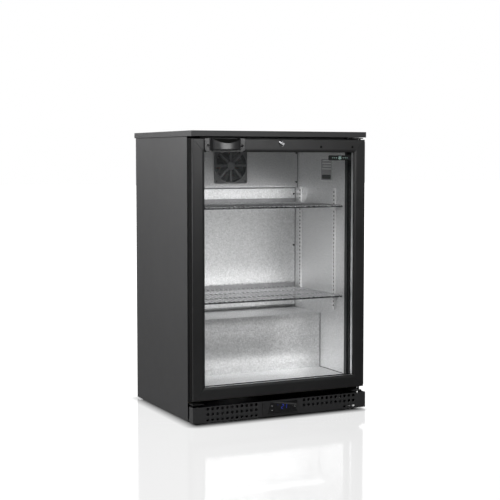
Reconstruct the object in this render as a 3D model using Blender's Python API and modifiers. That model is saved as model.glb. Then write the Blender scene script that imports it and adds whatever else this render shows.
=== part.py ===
"""Undercounter refrigerator: a single glass-door back-bar cooler.

Metres, +Z up. The front faces -Y and the origin is the bottom centre of the whole object.
Every sub-part is one closed solid with a gap of about 0.3 mm to the piece that it touches.
"""
import math

import bmesh
import bpy
from mathutils import Matrix, Vector

# ------------------------------------------------------------------ driving dimensions
WIDTH = 0.600
DEPTH = 0.500                    # handle front to worktop back
HEIGHT = 0.880
HANDLE_REACH = 0.025             # how far the handle stands out from the door
GAP = 0.0003                     # between pieces that touch
SHEET = 0.0012                   # folded steel

DOOR_FACE = -DEPTH / 2 + HANDLE_REACH
HALF = WIDTH / 2
BODY_HALF = HALF - 0.003         # outer faces of the side panels
CORE_HALF = BODY_HALF - SHEET - GAP

WORKTOP_THICK = 0.017
WORKTOP_UNDER = HEIGHT - WORKTOP_THICK
CORE_TOP = WORKTOP_UNDER - 0.0048
PANEL_FRONT = 0.0417             # behind the door face, where the cabinet starts
PANEL_BACK = 0.470
CORE_FRONT = 0.0463              # where the foam and the pan under it start
FRAME_BACK = 0.040               # where the foam's recess for the front frame starts
PANEL_BOTTOM = 0.004

FLOOR_Z = 0.104                  # inside of the liner
CEILING_Z = 0.834
INNER_HALF = 0.256
INNER_FRONT = 0.057
INNER_BACK = 0.430
STEP_FRONT = 0.213
STEP_TOP = 0.285
LINER = 0.001
BASE_Z = 0.060                   # top of the pan under the foam
BAY_FRONT = 0.2546               # the compressor bay under the step
BAY_TOP = 0.2388

DOOR_BOTTOM = 0.070
DOOR_TOP = 0.856
FRAME_WIDTH = 0.040
FRAME_THICK = 0.027
REBATE = 0.012                   # how far the glass sits in the frame
PANE_OUTER = (0.0070, 0.0109)    # front and back of each pane and of the spacer
PANE_INNER = (0.0230, 0.0270)
SPACER = (0.0112, 0.0227)
SPACER_WIDTH = 0.0097
GASKET_HALF = 0.284
GASKET_WIDTH = 0.022
GASKET_FRONT = 0.0303
HINGE_X = 0.284
HINGE_DEPTH = 0.013
PIN_RADIUS = 0.0035
PIN_BITE = 0.0086                # how far a hinge pin enters the door

LOCK_Z = 0.8435
CAM_LENGTH = 0.022
CAM_WIDTH = 0.009

RAIL_FRONT = 0.1165
RAIL_REAR = 0.348
RAIL_BOTTOM = 0.308
RAIL_TOP = 0.7015
RAIL_DEPTH = 0.0057
RAIL_WIDTH = 0.012
SLOT_PITCH = 0.0127
SLOT_Z = 0.638                   # the slot that holds the upper clips
SHELF_UPPER_Z = 0.650
SHELF_LOWER_Z = 0.3605
SHELF_HALF = 0.2475
SHELF_FRONT = 0.059
SHELF_BACK = 0.3845
WIRE = 0.003

COVER_FRONT = 0.370              # evaporator cover
COVER_BOTTOM = 0.698
COVER_THICK = 0.001
DRIP_TRAY_HALF = 0.240
DRIP_TRAY_DEPTHS = (0.398, 0.4285)
DRIP_TRAY_HEIGHTS = (0.6993, 0.7026)
DRIP_TRAY_WALL = 0.0015
EVAPORATOR_COIL = (0.470, 0.400, 0.428, 26)      # length, front, back, fins
EVAPORATOR_COIL_Z = 0.7655
DUCT_FRONT = 0.392
FAN_Z = 0.7735
FAN_SIZE = 0.120
FAN_BORE = 0.057
GUARD_THICK = 0.0077
HOUSING_THICK = 0.025
STRUT_REACH = 0.0585

PLINTH_FRONT = -0.005
PLINTH_BACK = 0.0232
PLINTH_TOP = 0.0525
PLINTH_BOTTOM = 0.004
HOLE_RADIUS = 0.00475
HOLE_PITCH = 0.0162
CONTROL_X = -0.007
CONTROL_Z = 0.030
CONTROL_WIDTH = 0.122
CONTROL_HEIGHT = 0.040
CONTROL_OPENING = (0.059, 0.018)         # half width and half height
CONTROL_BODY = (0.0585, 0.0175)
KEY_HALF = (0.0045, 0.0030)
KEYS = (("key_up", -0.036, 0.0365), ("key_down", -0.036, 0.0225), ("key_set", 0.043, 0.0295))

COMPRESSOR_PLACE = (-0.150, 0.362, 0.112)        # x, depth, height of its middle
COMPRESSOR_RADII = (0.092, 0.074, 0.0895)
COMPRESSOR_HOLLOW = (0.076, 0.058, 0.072)
COMPRESSOR_LEGS = (0.090, 0.048)
CONDENSER_X = 0.145
CONDENSER_Z = 0.110
CONDENSER_COIL = (0.240, 0.259, 0.297, 16)       # length, front, back, fins
CONDENSER_STRETCH = 1.44
CONDENSER_BORE = 0.084
COLLAR_LENGTH = 0.040

HANDLE_X = (-0.2584, -0.1265)
HANDLE_Z = (0.817, 0.857)
CUP_X = (-0.238, -0.147)
CUP_BOTTOM = 0.821
CUP_BULGE = 0.004
CUP_WALL = 0.003
RIM_Z = 0.842                    # lowest point of the cup's dipped rim
RIM_DIP = 0.012
HANDLE_SCREWS = (-0.248, -0.136)
HANDLE_SCREW_Z = 0.835

TRAY_Z = 0.007                   # underside of the base frame
TRAY_FRONT = 0.0235
FOOT_X = 0.250
FOOT_DEPTHS = (0.075, 0.430)
FOOT_PLATE = 0.0036

FINISHES = {                     # colour, roughness, metallic
    "black_steel": ((0.020, 0.020, 0.022), 0.42, 0.3),
    "black_aluminium": ((0.016, 0.016, 0.018), 0.38, 0.5),
    "black_plastic": ((0.014, 0.014, 0.015), 0.48, 0.0),
    "liner": ((0.62, 0.63, 0.64), 0.32, 1.0),
    "bright_steel": ((0.70, 0.71, 0.72), 0.26, 1.0),
    "zinc": ((0.60, 0.61, 0.62), 0.40, 1.0),
    "chrome": ((0.80, 0.80, 0.81), 0.10, 1.0),
    "glass": ((0.90, 0.94, 0.92), 0.02, 0.0),
    "rubber": ((0.015, 0.015, 0.015), 0.75, 0.0),
    "foam": ((0.78, 0.70, 0.46), 0.90, 0.0),
    "white_plastic": ((0.82, 0.83, 0.84), 0.35, 0.0),
    "copper": ((0.72, 0.38, 0.24), 0.30, 1.0),
}

PLANES = {                       # from an outline's own x, y and thickness to the world
    "XY": Matrix.Identity(4),
    "XZ": Matrix(((1, 0, 0, 0), (0, 0, -1, 0), (0, 1, 0, 0), (0, 0, 0, 1))),
    "YZ": Matrix(((0, 0, 1, 0), (1, 0, 0, 0), (0, 1, 0, 0), (0, 0, 0, 1))),
}
AXES = {
    "X": Matrix.Rotation(math.pi / 2, 4, "Y"),
    "Y": Matrix.Rotation(-math.pi / 2, 4, "X"),
    "Z": Matrix.Identity(4),
}


def back(distance):
    """World y of a plane that lies this far behind the door's front face."""
    return DOOR_FACE + distance


# ------------------------------------------------------------------ scene and objects
def clear_scene():
    for obj in list(bpy.data.objects):
        bpy.data.objects.remove(obj)


def new_collection(name):
    collection = bpy.data.collections.new(name)
    bpy.context.scene.collection.children.link(collection)
    return collection


clear_scene()
PARTS = new_collection("undercounter_refrigerator")
TOOLS = new_collection("construction_shapes")


def material_for(name, finish):
    """A Principled material of its own for each sub-part."""
    colour, roughness, metallic = FINISHES[finish]
    material = bpy.data.materials.new(name)
    material.use_nodes = True
    shader = material.node_tree.nodes["Principled BSDF"]
    shader.inputs["Base Color"].default_value = (*colour, 1)
    shader.inputs["Roughness"].default_value = roughness
    shader.inputs["Metallic"].default_value = metallic
    if finish == "glass":
        shader.inputs["Transmission Weight"].default_value = 1.0
    return material


def mesh_object(name, shape, collection, origin=(0, 0, 0)):
    """Turn a bmesh in world coordinates into an object with its origin where asked."""
    bmesh.ops.recalc_face_normals(shape, faces=shape.faces)
    mesh = bpy.data.meshes.new(name)
    shape.to_mesh(mesh)
    shape.free()
    mesh.transform(Matrix.Translation(-Vector(origin)))
    obj = bpy.data.objects.new(name, mesh)
    obj.location = origin
    collection.objects.link(obj)
    return obj


def part(name, shape, finish, origin=(0, 0, 0)):
    obj = mesh_object(name, shape, PARTS, origin)
    obj.data.materials.append(material_for(name, finish))
    return obj


def smooth(obj, angle=40):
    obj.data.shade_smooth()
    obj.data.set_sharp_from_angle(angle=math.radians(angle))


def boolean(obj, shape, operation="DIFFERENCE"):
    """Cut a shape from a part, or join it on. The shape becomes a hidden helper object."""
    helper = mesh_object(f"{obj.name}_{operation.lower()}_{len(obj.modifiers)}", shape, TOOLS)
    helper.hide_render = True
    helper.display_type = "WIRE"
    modifier = obj.modifiers.new(operation.lower(), "BOOLEAN")
    modifier.operation = operation
    modifier.object = helper


def cut(obj, shape):
    boolean(obj, shape)


def join(obj, shape):
    boolean(obj, shape, "UNION")


def bevel(obj, width, segments=1):
    modifier = obj.modifiers.new("edges", "BEVEL")
    modifier.width = width
    modifier.segments = segments
    modifier.limit_method = "ANGLE"


# ------------------------------------------------------------------ basic shapes
def box(low, high, shape=None):
    """A box between two corners, alone or added to a shape."""
    shape = shape or bmesh.new()
    low, high = Vector(low), Vector(high)
    size = Matrix.Diagonal((*(high - low), 1))
    middle = Matrix.Translation((low + high) / 2)
    bmesh.ops.create_cube(shape, size=1, matrix=middle @ size)
    return shape


def cylinder(centre, radius, length, axis="Z", sides=24, shape=None):
    shape = shape or bmesh.new()
    bmesh.ops.create_cone(shape, cap_ends=True, segments=sides, radius1=radius, radius2=radius,
                          depth=length, matrix=Matrix.Translation(centre) @ AXES[axis])
    return shape


def outline(loops, thickness, plane, middle):
    """A flat outline with holes, given a thickness about the middle of its plane."""
    curve = bpy.data.curves.new("outline", "CURVE")
    curve.dimensions = "2D"
    curve.fill_mode = "BOTH"
    curve.extrude = thickness / 2
    for loop in loops:
        spline = curve.splines.new("POLY")
        spline.points.add(len(loop) - 1)
        for point, (x, y) in zip(spline.points, loop):
            point.co = (x, y, 0, 1)
        spline.use_cyclic_u = True
    source = bpy.data.objects.new("outline", curve)
    TOOLS.objects.link(source)
    graph = bpy.context.evaluated_depsgraph_get()
    mesh = bpy.data.meshes.new_from_object(source.evaluated_get(graph))
    shape = bmesh.new()
    shape.from_mesh(mesh)
    bmesh.ops.remove_doubles(shape, verts=shape.verts, dist=0.00001)
    normal = PLANES[plane].to_3x3() @ Vector((0, 0, 1))
    lift = Vector(abs(part) * middle for part in normal)
    shape.transform(Matrix.Translation(lift) @ PLANES[plane])
    bpy.data.objects.remove(source)
    bpy.data.curves.remove(curve)
    bpy.data.meshes.remove(mesh)
    return shape


def rectangle(x0, x1, y0, y1):
    return [(x0, y0), (x1, y0), (x1, y1), (x0, y1)]


def arc(cx, cy, radius, start, end, steps):
    """Points of an arc, with its angles in degrees."""
    angles = [math.radians(start + (end - start) * i / steps) for i in range(steps + 1)]
    return [(cx + radius * math.cos(a), cy + radius * math.sin(a)) for a in angles]


def circle(cx, cy, radius, sides):
    return arc(cx, cy, radius, 0, 360, sides)[:-1]


def frame_ring(half, z0, z1, width, y0, y1):
    """A flat rectangular ring that faces the front."""
    outer = rectangle(-half, half, z0, z1)
    inner = rectangle(-half + width, half - width, z0 + width, z1 - width)
    return outline([outer, inner], y1 - y0, "XZ", back((y0 + y1) / 2))


def profile_along_x(points, half):
    """A profile in depth and height, drawn out to both sides."""
    return outline([[(back(d), z) for d, z in points]], 2 * half, "YZ", 0)


# ------------------------------------------------------------------ cabinet shell
def make_side_panels():
    for name, side in (("side_panel_left", -1), ("side_panel_right", 1)):
        xs = sorted((side * BODY_HALF, side * (BODY_HALF - SHEET)))
        shape = box((xs[0], back(PANEL_FRONT), PANEL_BOTTOM),
                    (xs[1], back(PANEL_BACK), WORKTOP_UNDER - GAP))
        part(name, shape, "black_steel")


def make_worktop():
    """A folded tray, open underneath, with a slot in its front flange for the lock's cam."""
    top = part("worktop", box((-HALF, back(0), WORKTOP_UNDER), (HALF, DEPTH / 2, HEIGHT)),
               "black_steel")
    inside = box((-HALF + SHEET, back(SHEET), WORKTOP_UNDER + SHEET),
                 (HALF - SHEET, DEPTH / 2 - SHEET, HEIGHT - SHEET))
    cut(top, inside)
    cut(top, box((-HALF + 0.010, back(0.050), WORKTOP_UNDER - 0.004),
                 (HALF - 0.010, DEPTH / 2 - 0.012, WORKTOP_UNDER + 0.004)))
    cut(top, box((-0.007, back(0.0155), WORKTOP_UNDER - 0.003),
                 (0.014, back(0.0225), WORKTOP_UNDER + 0.003)))


def make_back_panel():
    part("back_panel", box((-CORE_HALF, back(PANEL_BACK - SHEET), BAY_TOP + 0.0015),
                           (CORE_HALF, back(PANEL_BACK), WORKTOP_UNDER - GAP)), "zinc")


def make_base_pan():
    """The folded skin under the foam, which rises to make the roof of the compressor bay."""
    rear = PANEL_BACK - SHEET - GAP
    points = [(CORE_FRONT, BASE_Z - SHEET), (BAY_FRONT, BASE_Z - SHEET), (BAY_FRONT, BAY_TOP),
              (rear, BAY_TOP), (rear, BAY_TOP + SHEET), (BAY_FRONT - SHEET, BAY_TOP + SHEET),
              (BAY_FRONT - SHEET, BASE_Z), (CORE_FRONT, BASE_Z)]
    part("base_pan", profile_along_x(points, CORE_HALF), "black_steel")


def cavity(grow, front):
    """The inside of the cabinet, with the step over the compressor bay."""
    points = [(front, FLOOR_Z - grow), (STEP_FRONT + grow, FLOOR_Z - grow),
              (STEP_FRONT + grow, STEP_TOP - grow), (INNER_BACK + grow, STEP_TOP - grow),
              (INNER_BACK + grow, CEILING_Z + grow), (front, CEILING_Z + grow)]
    return profile_along_x(points, INNER_HALF + grow)


def make_insulation():
    front = CORE_FRONT
    rear = PANEL_BACK - SHEET - GAP
    low = BASE_Z + GAP
    bay = BAY_FRONT - SHEET - GAP
    roof = BAY_TOP + SHEET + GAP
    points = [(front, low), (bay, low), (bay, roof), (rear, roof), (rear, CORE_TOP),
              (front, CORE_TOP)]
    foam = part("insulation_foam", profile_along_x(points, CORE_HALF), "foam")
    cut(foam, cavity(LINER + GAP, FRAME_BACK))
    lip = 0.0028
    cut(foam, box((-INNER_HALF - lip, back(FRAME_BACK), FLOOR_Z - lip),
                  (INNER_HALF + lip, back(INNER_FRONT), CEILING_Z + lip)))


def make_liner():
    liner = part("inner_liner", cavity(LINER, INNER_FRONT), "liner")
    cut(liner, cavity(0, INNER_FRONT - 0.010))


def make_front_frame():
    """The breaker frame that the door closes on, with a lip that meets the liner."""
    low = BASE_Z + 0.002
    high = WORKTOP_UNDER - 2 * GAP
    thick = 0.0043
    outer = rectangle(-CORE_HALF, CORE_HALF, low, high)
    inner = rectangle(-INNER_HALF, INNER_HALF, FLOOR_Z, CEILING_Z)
    face = outline([outer, inner], thick, "XZ", back(PANEL_FRONT + thick / 2))
    frame = part("front_frame", face, "black_plastic")
    lip = 0.0025
    lip_outer = rectangle(-INNER_HALF - lip, INNER_HALF + lip, FLOOR_Z - lip, CEILING_Z + lip)
    start = PANEL_FRONT + 0.002
    end = INNER_FRONT - GAP
    join(frame, outline([lip_outer, inner], end - start, "XZ", back((start + end) / 2)))
    notches = bmesh.new()
    for side in (-1, 1):
        xs = sorted((side * 0.2545, side * 0.2925))
        box((xs[0], back(FRAME_BACK), CORE_TOP), (xs[1], back(0.050), high + 0.002), notches)
    cut(frame, notches)


def make_base_frame():
    """The galvanised tray that carries the machinery, with a boss over each foot."""
    rear = PANEL_BACK - 0.002
    tray = part("base_frame", box((-CORE_HALF, back(TRAY_FRONT), TRAY_Z),
                                  (CORE_HALF, back(rear), TRAY_Z + SHEET)), "zinc")
    join(tray, box((-CORE_HALF, back(TRAY_FRONT), TRAY_Z),
                   (CORE_HALF, back(TRAY_FRONT + SHEET), TRAY_Z + 0.008)))
    for side in (-1, 1):
        xs = sorted((side * CORE_HALF, side * (CORE_HALF - SHEET)))
        join(tray, box((xs[0], back(PANEL_FRONT + 0.002), TRAY_Z), (xs[1], back(rear), 0.034)))
    bosses = bmesh.new()
    holes = bmesh.new()
    for x, depth in foot_places():
        cylinder((x, back(depth), 0.0085), 0.011, 0.009, sides=12, shape=bosses)
        cylinder((x, back(depth), 0.010), 0.0045, 0.030, sides=12, shape=holes)
    join(tray, bosses)
    cut(tray, holes)


def foot_places():
    return [(side * FOOT_X, depth) for depth in FOOT_DEPTHS for side in (-1, 1)]


def make_feet():
    names = ("foot_front_left", "foot_front_right", "foot_rear_left", "foot_rear_right")
    for name, (x, depth) in zip(names, foot_places()):
        shape = cylinder((x, back(depth), FOOT_PLATE / 2), 0.015, FOOT_PLATE, sides=16)
        foot = part(name, shape, "rubber", (x, back(depth), 0))
        join(foot, cylinder((x, back(depth), 0.0195), 0.004, 0.034, sides=12))


# ------------------------------------------------------------------ inside the cabinet
def sector(r0, r1, start, end, steps):
    return arc(0, FAN_Z, r0, start, end, steps) + arc(0, FAN_Z, r1, end, start, steps)


def rounded_square(half, radius, steps):
    corners = ((1, 1, 0), (-1, 1, 90), (-1, -1, 180), (1, -1, 270))
    reach = half - radius
    points = []
    for sx, sz, start in corners:
        points += arc(sx * reach, FAN_Z + sz * reach, radius, start, start + 90, steps)
    return points


def guard_slots():
    """Ring slots of the fan guard, broken by eight spokes."""
    loops = []
    for ring in range(6):
        r0 = 0.0175 + 0.0066 * ring
        r1 = r0 + 0.0042
        for spoke in range(8):
            gap = math.degrees(math.asin(0.0045 / r0))
            start = 45 * spoke + gap
            end = 45 * (spoke + 1) - gap
            if end - start > 8:
                loops.append(sector(r0, r1, start, end, 2))
    return loops


def make_evaporator():
    top = CEILING_Z - GAP
    half = INNER_HALF - 0.0005
    face = outline([rectangle(-half, half, COVER_BOTTOM, top), circle(0, FAN_Z, FAN_BORE, 32)],
                   COVER_THICK, "XZ", back(COVER_FRONT + COVER_THICK / 2))
    cover = part("evaporator_cover", face, "liner")
    join(cover, box((-half, back(COVER_FRONT), COVER_BOTTOM),
                    (half, back(INNER_BACK - 0.002), COVER_BOTTOM + COVER_THICK)))

    y0, y1 = (back(depth) for depth in DRIP_TRAY_DEPTHS)
    z0, z1 = DRIP_TRAY_HEIGHTS
    wall = DRIP_TRAY_WALL
    tray = part("drip_tray", box((-DRIP_TRAY_HALF, y0, z0), (DRIP_TRAY_HALF, y1, z1)),
                "white_plastic")
    cut(tray, box((-DRIP_TRAY_HALF + wall, y0 + wall, z0 + wall),
                  (DRIP_TRAY_HALF - wall, y1 - wall, z1 + wall)))

    coil = part("evaporator_coil", finned_block(*EVAPORATOR_COIL), "bright_steel")
    coil.location = (0, 0, EVAPORATOR_COIL_Z)

    corner = 0.006
    guard = outline([rounded_square(FAN_SIZE / 2, corner, 3)] + guard_slots(),
                    GUARD_THICK, "XZ", back(COVER_FRONT - GAP - GUARD_THICK / 2))
    part("evaporator_fan_guard", guard, "black_plastic")

    fan_front = COVER_FRONT + COVER_THICK + GAP
    housing = outline([rounded_square(FAN_SIZE / 2 - GAP, corner, 3),
                       circle(0, FAN_Z, FAN_BORE, 32)],
                      HOUSING_THICK, "XZ", back(fan_front + HOUSING_THICK / 2))
    housing = part("evaporator_fan_housing", housing, "black_plastic")
    rear = fan_front + HOUSING_THICK - 0.002
    for angle in (45, 135):
        strut = box((-STRUT_REACH, -0.0015, -0.003), (STRUT_REACH, 0.0015, 0.003))
        strut.transform(Matrix.Translation((0, back(rear), FAN_Z))
                        @ Matrix.Rotation(math.radians(angle), 4, "Y"))
        join(housing, strut)
    hub = 0.019
    join(housing, cylinder((0, back(rear), FAN_Z), hub, 0.0034, "Y", 24))
    impeller("evaporator_fan_impeller", (0, back(fan_front + 0.011), FAN_Z), hub,
             FAN_BORE - 0.0025, 0.018, 7, "black_plastic")


def finned_block(length, y0, y1, fins):
    """A comb in plan view: thin fins on a row of tubes, drawn to the coil's height."""
    pitch = length / fins
    fin = 0.0022
    core = (y0 + y1) / 2
    web = 0.004
    points = []
    for i in range(fins):
        x = -length / 2 + pitch * i
        points += [(x, back(core - web)), (x, back(y0)), (x + fin, back(y0)),
                   (x + fin, back(core - web))]
    for i in reversed(range(fins)):
        x = -length / 2 + pitch * i
        points += [(x + fin, back(core + web)), (x + fin, back(y1)), (x, back(y1)),
                   (x, back(core + web))]
    return outline([points], 0.125, "XY", 0)


def impeller(name, centre, hub, radius, thick, blades, finish):
    """A hub and pitched blades, turning about the Y axis."""
    wheel = part(name, cylinder(centre, hub, thick, "Y", 20), finish, centre)
    for i in range(blades):
        blade = box((hub - 0.004, -0.0009, -0.55 * hub), (radius, 0.0009, 0.55 * hub))
        blade.transform(Matrix.Translation(centre)
                        @ Matrix.Rotation(2 * math.pi * i / blades, 4, "Y")
                        @ Matrix.Rotation(math.radians(34), 4, "X"))
        join(wheel, blade)


def make_duct_panel():
    half = INNER_HALF - 0.0005
    part("duct_panel", box((-half, back(DUCT_FRONT), STEP_TOP + 0.011),
                           (half, back(DUCT_FRONT + 0.001), COVER_BOTTOM - GAP)), "liner")


def make_light():
    strip = part("interior_light", box((-0.220, back(0.062), 0.8225),
                                       (0.220, back(0.078), CEILING_Z - GAP)), "white_plastic")
    bevel(strip, 0.002)


def rail_slots():
    centres = [SLOT_Z + SLOT_PITCH * i for i in range(-25, 5)]
    return [z for z in centres if RAIL_BOTTOM + 0.006 < z < RAIL_TOP - 0.006]


def nearest_slot(z):
    return min(rail_slots(), key=lambda slot: abs(slot - z))


def make_shelf_rails():
    for place, depth in (("front", RAIL_FRONT), ("rear", RAIL_REAR)):
        for hand, side in (("left", -1), ("right", 1)):
            y = back(depth)
            loops = [rectangle(y - RAIL_WIDTH / 2, y + RAIL_WIDTH / 2, RAIL_BOTTOM, RAIL_TOP)]
            loops += [rectangle(y - 0.003, y + 0.003, z - 0.003, z + 0.003)
                      for z in rail_slots()]
            middle = side * (INNER_HALF - GAP - RAIL_DEPTH / 2)
            rail = outline(loops, RAIL_DEPTH, "YZ", abs(middle))
            if side < 0:
                rail.transform(Matrix.Translation((2 * middle, 0, 0)))
            part(f"shelf_rail_{place}_{hand}", rail, "bright_steel")


def make_shelf_clips():
    """Winged clips that hook into the rails and carry the shelves' side wires."""
    rail_face = INNER_HALF - GAP - RAIL_DEPTH
    for level, shelf_z in (("upper", SHELF_UPPER_Z), ("lower", SHELF_LOWER_Z)):
        top = shelf_z - 0.0043
        slot = nearest_slot(shelf_z - 0.011)
        for place, depth in (("front", RAIL_FRONT), ("rear", RAIL_REAR)):
            y = back(depth)
            wing = [(y - 0.034, top), (y - 0.034, top - 0.002), (y - 0.004, top - 0.0135),
                    (y + 0.004, top - 0.0135), (y + 0.034, top - 0.002), (y + 0.034, top)]
            for hand, side in (("left", -1), ("right", 1)):
                plate = outline([wing], 0.0057, "YZ", rail_face - GAP - 0.00285)
                tab = box((rail_face - 0.002, y - 0.0025, slot - 0.0025),
                          (rail_face + 0.004, y + 0.0025, slot + 0.0025))
                for shape in (plate, tab):
                    shape.transform(Matrix.Diagonal((side, 1, 1, 1)))
                clip = part(f"shelf_clip_{level}_{place}_{hand}", plate, "bright_steel")
                join(clip, tab)


def make_shelves():
    """Wire shelves: front-to-back wires, a heavy front wire and a raised back lip."""
    wires = 31
    front = SHELF_FRONT + 0.003
    pitch = (2 * SHELF_HALF - WIRE) / (wires - 1)
    for name, z in (("shelf_upper", SHELF_UPPER_Z), ("shelf_lower", SHELF_LOWER_Z)):
        origin = (0, back((front + SHELF_BACK) / 2), z)
        shelf = part(name, box((-SHELF_HALF, back(front), z - 0.004),
                               (SHELF_HALF, back(SHELF_BACK), z)), "bright_steel", origin)
        gaps = bmesh.new()
        for i in range(wires - 1):
            x0 = -SHELF_HALF + WIRE + pitch * i
            box((x0, back(front + 0.0036), z - 0.010),
                (x0 + pitch - WIRE, back(SHELF_BACK - 0.004), z + 0.010), gaps)
        cut(shelf, gaps)
        join(shelf, box((-0.252, back(SHELF_FRONT), z - 0.0062),
                        (0.252, back(SHELF_FRONT + 0.006), z + 0.0002)))
        join(shelf, box((-SHELF_HALF + 0.002, back(SHELF_BACK - WIRE - 0.0002), z - 0.003),
                        (SHELF_HALF - 0.002, back(SHELF_BACK - 0.0002), z + 0.015)))


# ------------------------------------------------------------------ plinth and controls
def plinth_holes():
    """Centres of the air holes: a block on the left and a lower-sided one on the right."""
    rows = (0.0452, 0.0290, 0.0128)
    places = []
    for column in range(11):
        places += [(-0.251 + HOLE_PITCH * column, z) for z in rows]
    for column in range(12):
        used = rows if column >= 9 else rows[:2]
        places += [(0.0776 + HOLE_PITCH * column, z) for z in used]
    return places


def make_plinth():
    """A folded channel with inward flanges, pierced by the air holes and the controller."""
    front, rear = back(PLINTH_FRONT), back(PLINTH_BACK)
    side = [(HALF, front), (HALF, rear), (HALF - 0.012, rear), (HALF - 0.012, rear - SHEET),
            (HALF - SHEET, rear - SHEET), (HALF - SHEET, front + SHEET)]
    plan = side + [(-x, y) for x, y in reversed(side)]
    channel = outline([plan], PLINTH_TOP - PLINTH_BOTTOM, "XY", (PLINTH_TOP + PLINTH_BOTTOM) / 2)
    plinth = part("plinth_panel", channel, "black_steel")
    half, rise = CONTROL_OPENING
    openings = box((CONTROL_X - half, front - 0.005, CONTROL_Z - rise),
                   (CONTROL_X + half, front + 0.005, CONTROL_Z + rise))
    for x, z in plinth_holes():
        cylinder((x, front, z), HOLE_RADIUS, 0.010, "Y", 8, openings)
    cut(plinth, openings)


def make_controller():
    half = CONTROL_WIDTH / 2
    low = CONTROL_Z - CONTROL_HEIGHT / 2
    high = CONTROL_Z + CONTROL_HEIGHT / 2
    bezel = box((CONTROL_X - half, back(-0.0073), low), (CONTROL_X + half, back(-0.0053), high))
    housing = part("controller_housing", bezel, "black_plastic")
    body_half, body_rise = CONTROL_BODY
    join(housing, box((CONTROL_X - body_half, back(-0.0060), CONTROL_Z - body_rise),
                      (CONTROL_X + body_half, back(0.018), CONTROL_Z + body_rise)))
    key_x, key_z = KEY_HALF
    well_x, well_z = key_x + GAP, key_z + GAP
    wells = bmesh.new()
    for _, x, z in KEYS:
        box((x - well_x, back(-0.010), z - well_z), (x + well_x, back(-0.0036), z + well_z), wells)
    cut(housing, wells)
    for name, x, z in KEYS:
        key = box((x - key_x, back(-0.0083), z - key_z), (x + key_x, back(-0.0050), z + key_z))
        part(name, key, "black_plastic", (x, back(-0.0083), z))


# ------------------------------------------------------------------ compressor bay
def make_machinery():
    make_compressor()
    x, z = CONDENSER_X, CONDENSER_Z
    coil = finned_block(*CONDENSER_COIL)
    coil.transform(Matrix.Translation((x, 0, z))
                   @ Matrix.Diagonal((1, 1, CONDENSER_STRETCH, 1)))
    part("condenser_coil", coil, "bright_steel")

    bore, sides = CONDENSER_BORE, 16
    plate, plate_depth = 0.002, 0.301
    collar_depth = plate_depth + plate / 10 + COLLAR_LENGTH / 2
    face = outline([rectangle(x - 0.120, x + 0.120, z - 0.100, z + 0.100),
                    circle(x, z, bore, sides)], plate, "XZ", back(plate_depth))
    shroud = part("condenser_fan_shroud", face, "black_steel")
    collar = [circle(x, z, bore + plate, sides), circle(x, z, bore, sides)]
    join(shroud, outline(collar, COLLAR_LENGTH, "XZ", back(collar_depth)))
    bar = bore + SHEET
    join(shroud, box((x - bar, back(0.338), z - 0.006), (x + bar, back(0.3405), z + 0.006)))
    join(shroud, cylinder((x, back(0.362), z), 0.026, 0.045, "Y", 20))
    impeller("condenser_fan_impeller", (x, back(0.320), z), 0.025, 0.080, 0.024, 5,
             "black_steel")


def ellipsoid(centre, radii):
    shape = bmesh.new()
    bmesh.ops.create_uvsphere(shape, u_segments=18, v_segments=10, radius=1)
    shape.transform(Matrix.Translation(centre) @ Matrix.Diagonal((*radii, 1)))
    return shape


def make_compressor():
    """A domed steel shell on a bracket with four rubber-mounted legs, hollow for its motor."""
    x, depth, middle = COMPRESSOR_PLACE
    y = back(depth)
    plate = box((x - 0.105, y - 0.060, 0.0225), (x + 0.105, y + 0.060, 0.0265))
    compressor = part("compressor", plate, "black_steel")
    join(compressor, ellipsoid((x, y, middle), COMPRESSOR_RADII))
    cut(compressor, ellipsoid((x, y, middle + 0.002), COMPRESSOR_HOLLOW))
    cut(compressor, cylinder((x, y, 0.030), 0.012, 0.040, sides=12))
    reach_x, reach_y = COMPRESSOR_LEGS
    for sx in (-1, 1):
        for sy in (-1, 1):
            place = (x + sx * reach_x, y + sy * reach_y, 0.0165)
            join(compressor, cylinder(place, 0.010, 0.0158, sides=10))
    join(compressor, box((x + 0.080, y - 0.028, 0.082), (x + 0.108, y + 0.028, 0.138)))


def make_rear_grille():
    low = TRAY_Z + SHEET + GAP
    loops = [rectangle(-CORE_HALF, CORE_HALF, low, BAY_TOP + 0.001)]
    for row in range(12):
        z = 0.040 + 0.0155 * row
        for column in range(3):
            x = -0.190 + 0.165 * column
            loops.append(rectangle(x, x + 0.130, z, z + 0.006))
    loops.append(rectangle(-0.264, -0.236, 0.050, 0.070))
    grille = outline(loops, SHEET, "XZ", back(PANEL_BACK - SHEET / 2))
    part("rear_grille", grille, "black_steel")
    inlet = part("power_inlet", box((-0.2637, back(0.448), 0.0503), (-0.2363, back(0.4710), 0.0697)),
                 "black_plastic")
    join(inlet, box((-0.272, back(0.4703), 0.046), (-0.228, back(0.4725), 0.074)))
    cut(inlet, box((-0.2615, back(0.455), 0.0525), (-0.2385, back(0.480), 0.0675)))


# ------------------------------------------------------------------ hinges
def hinge_plate(side, y0, z0):
    xs = sorted((side * 0.2555, side * 0.2915))
    return box((xs[0], back(y0), z0), (xs[1], back(0.110), z0 + 0.003))


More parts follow.
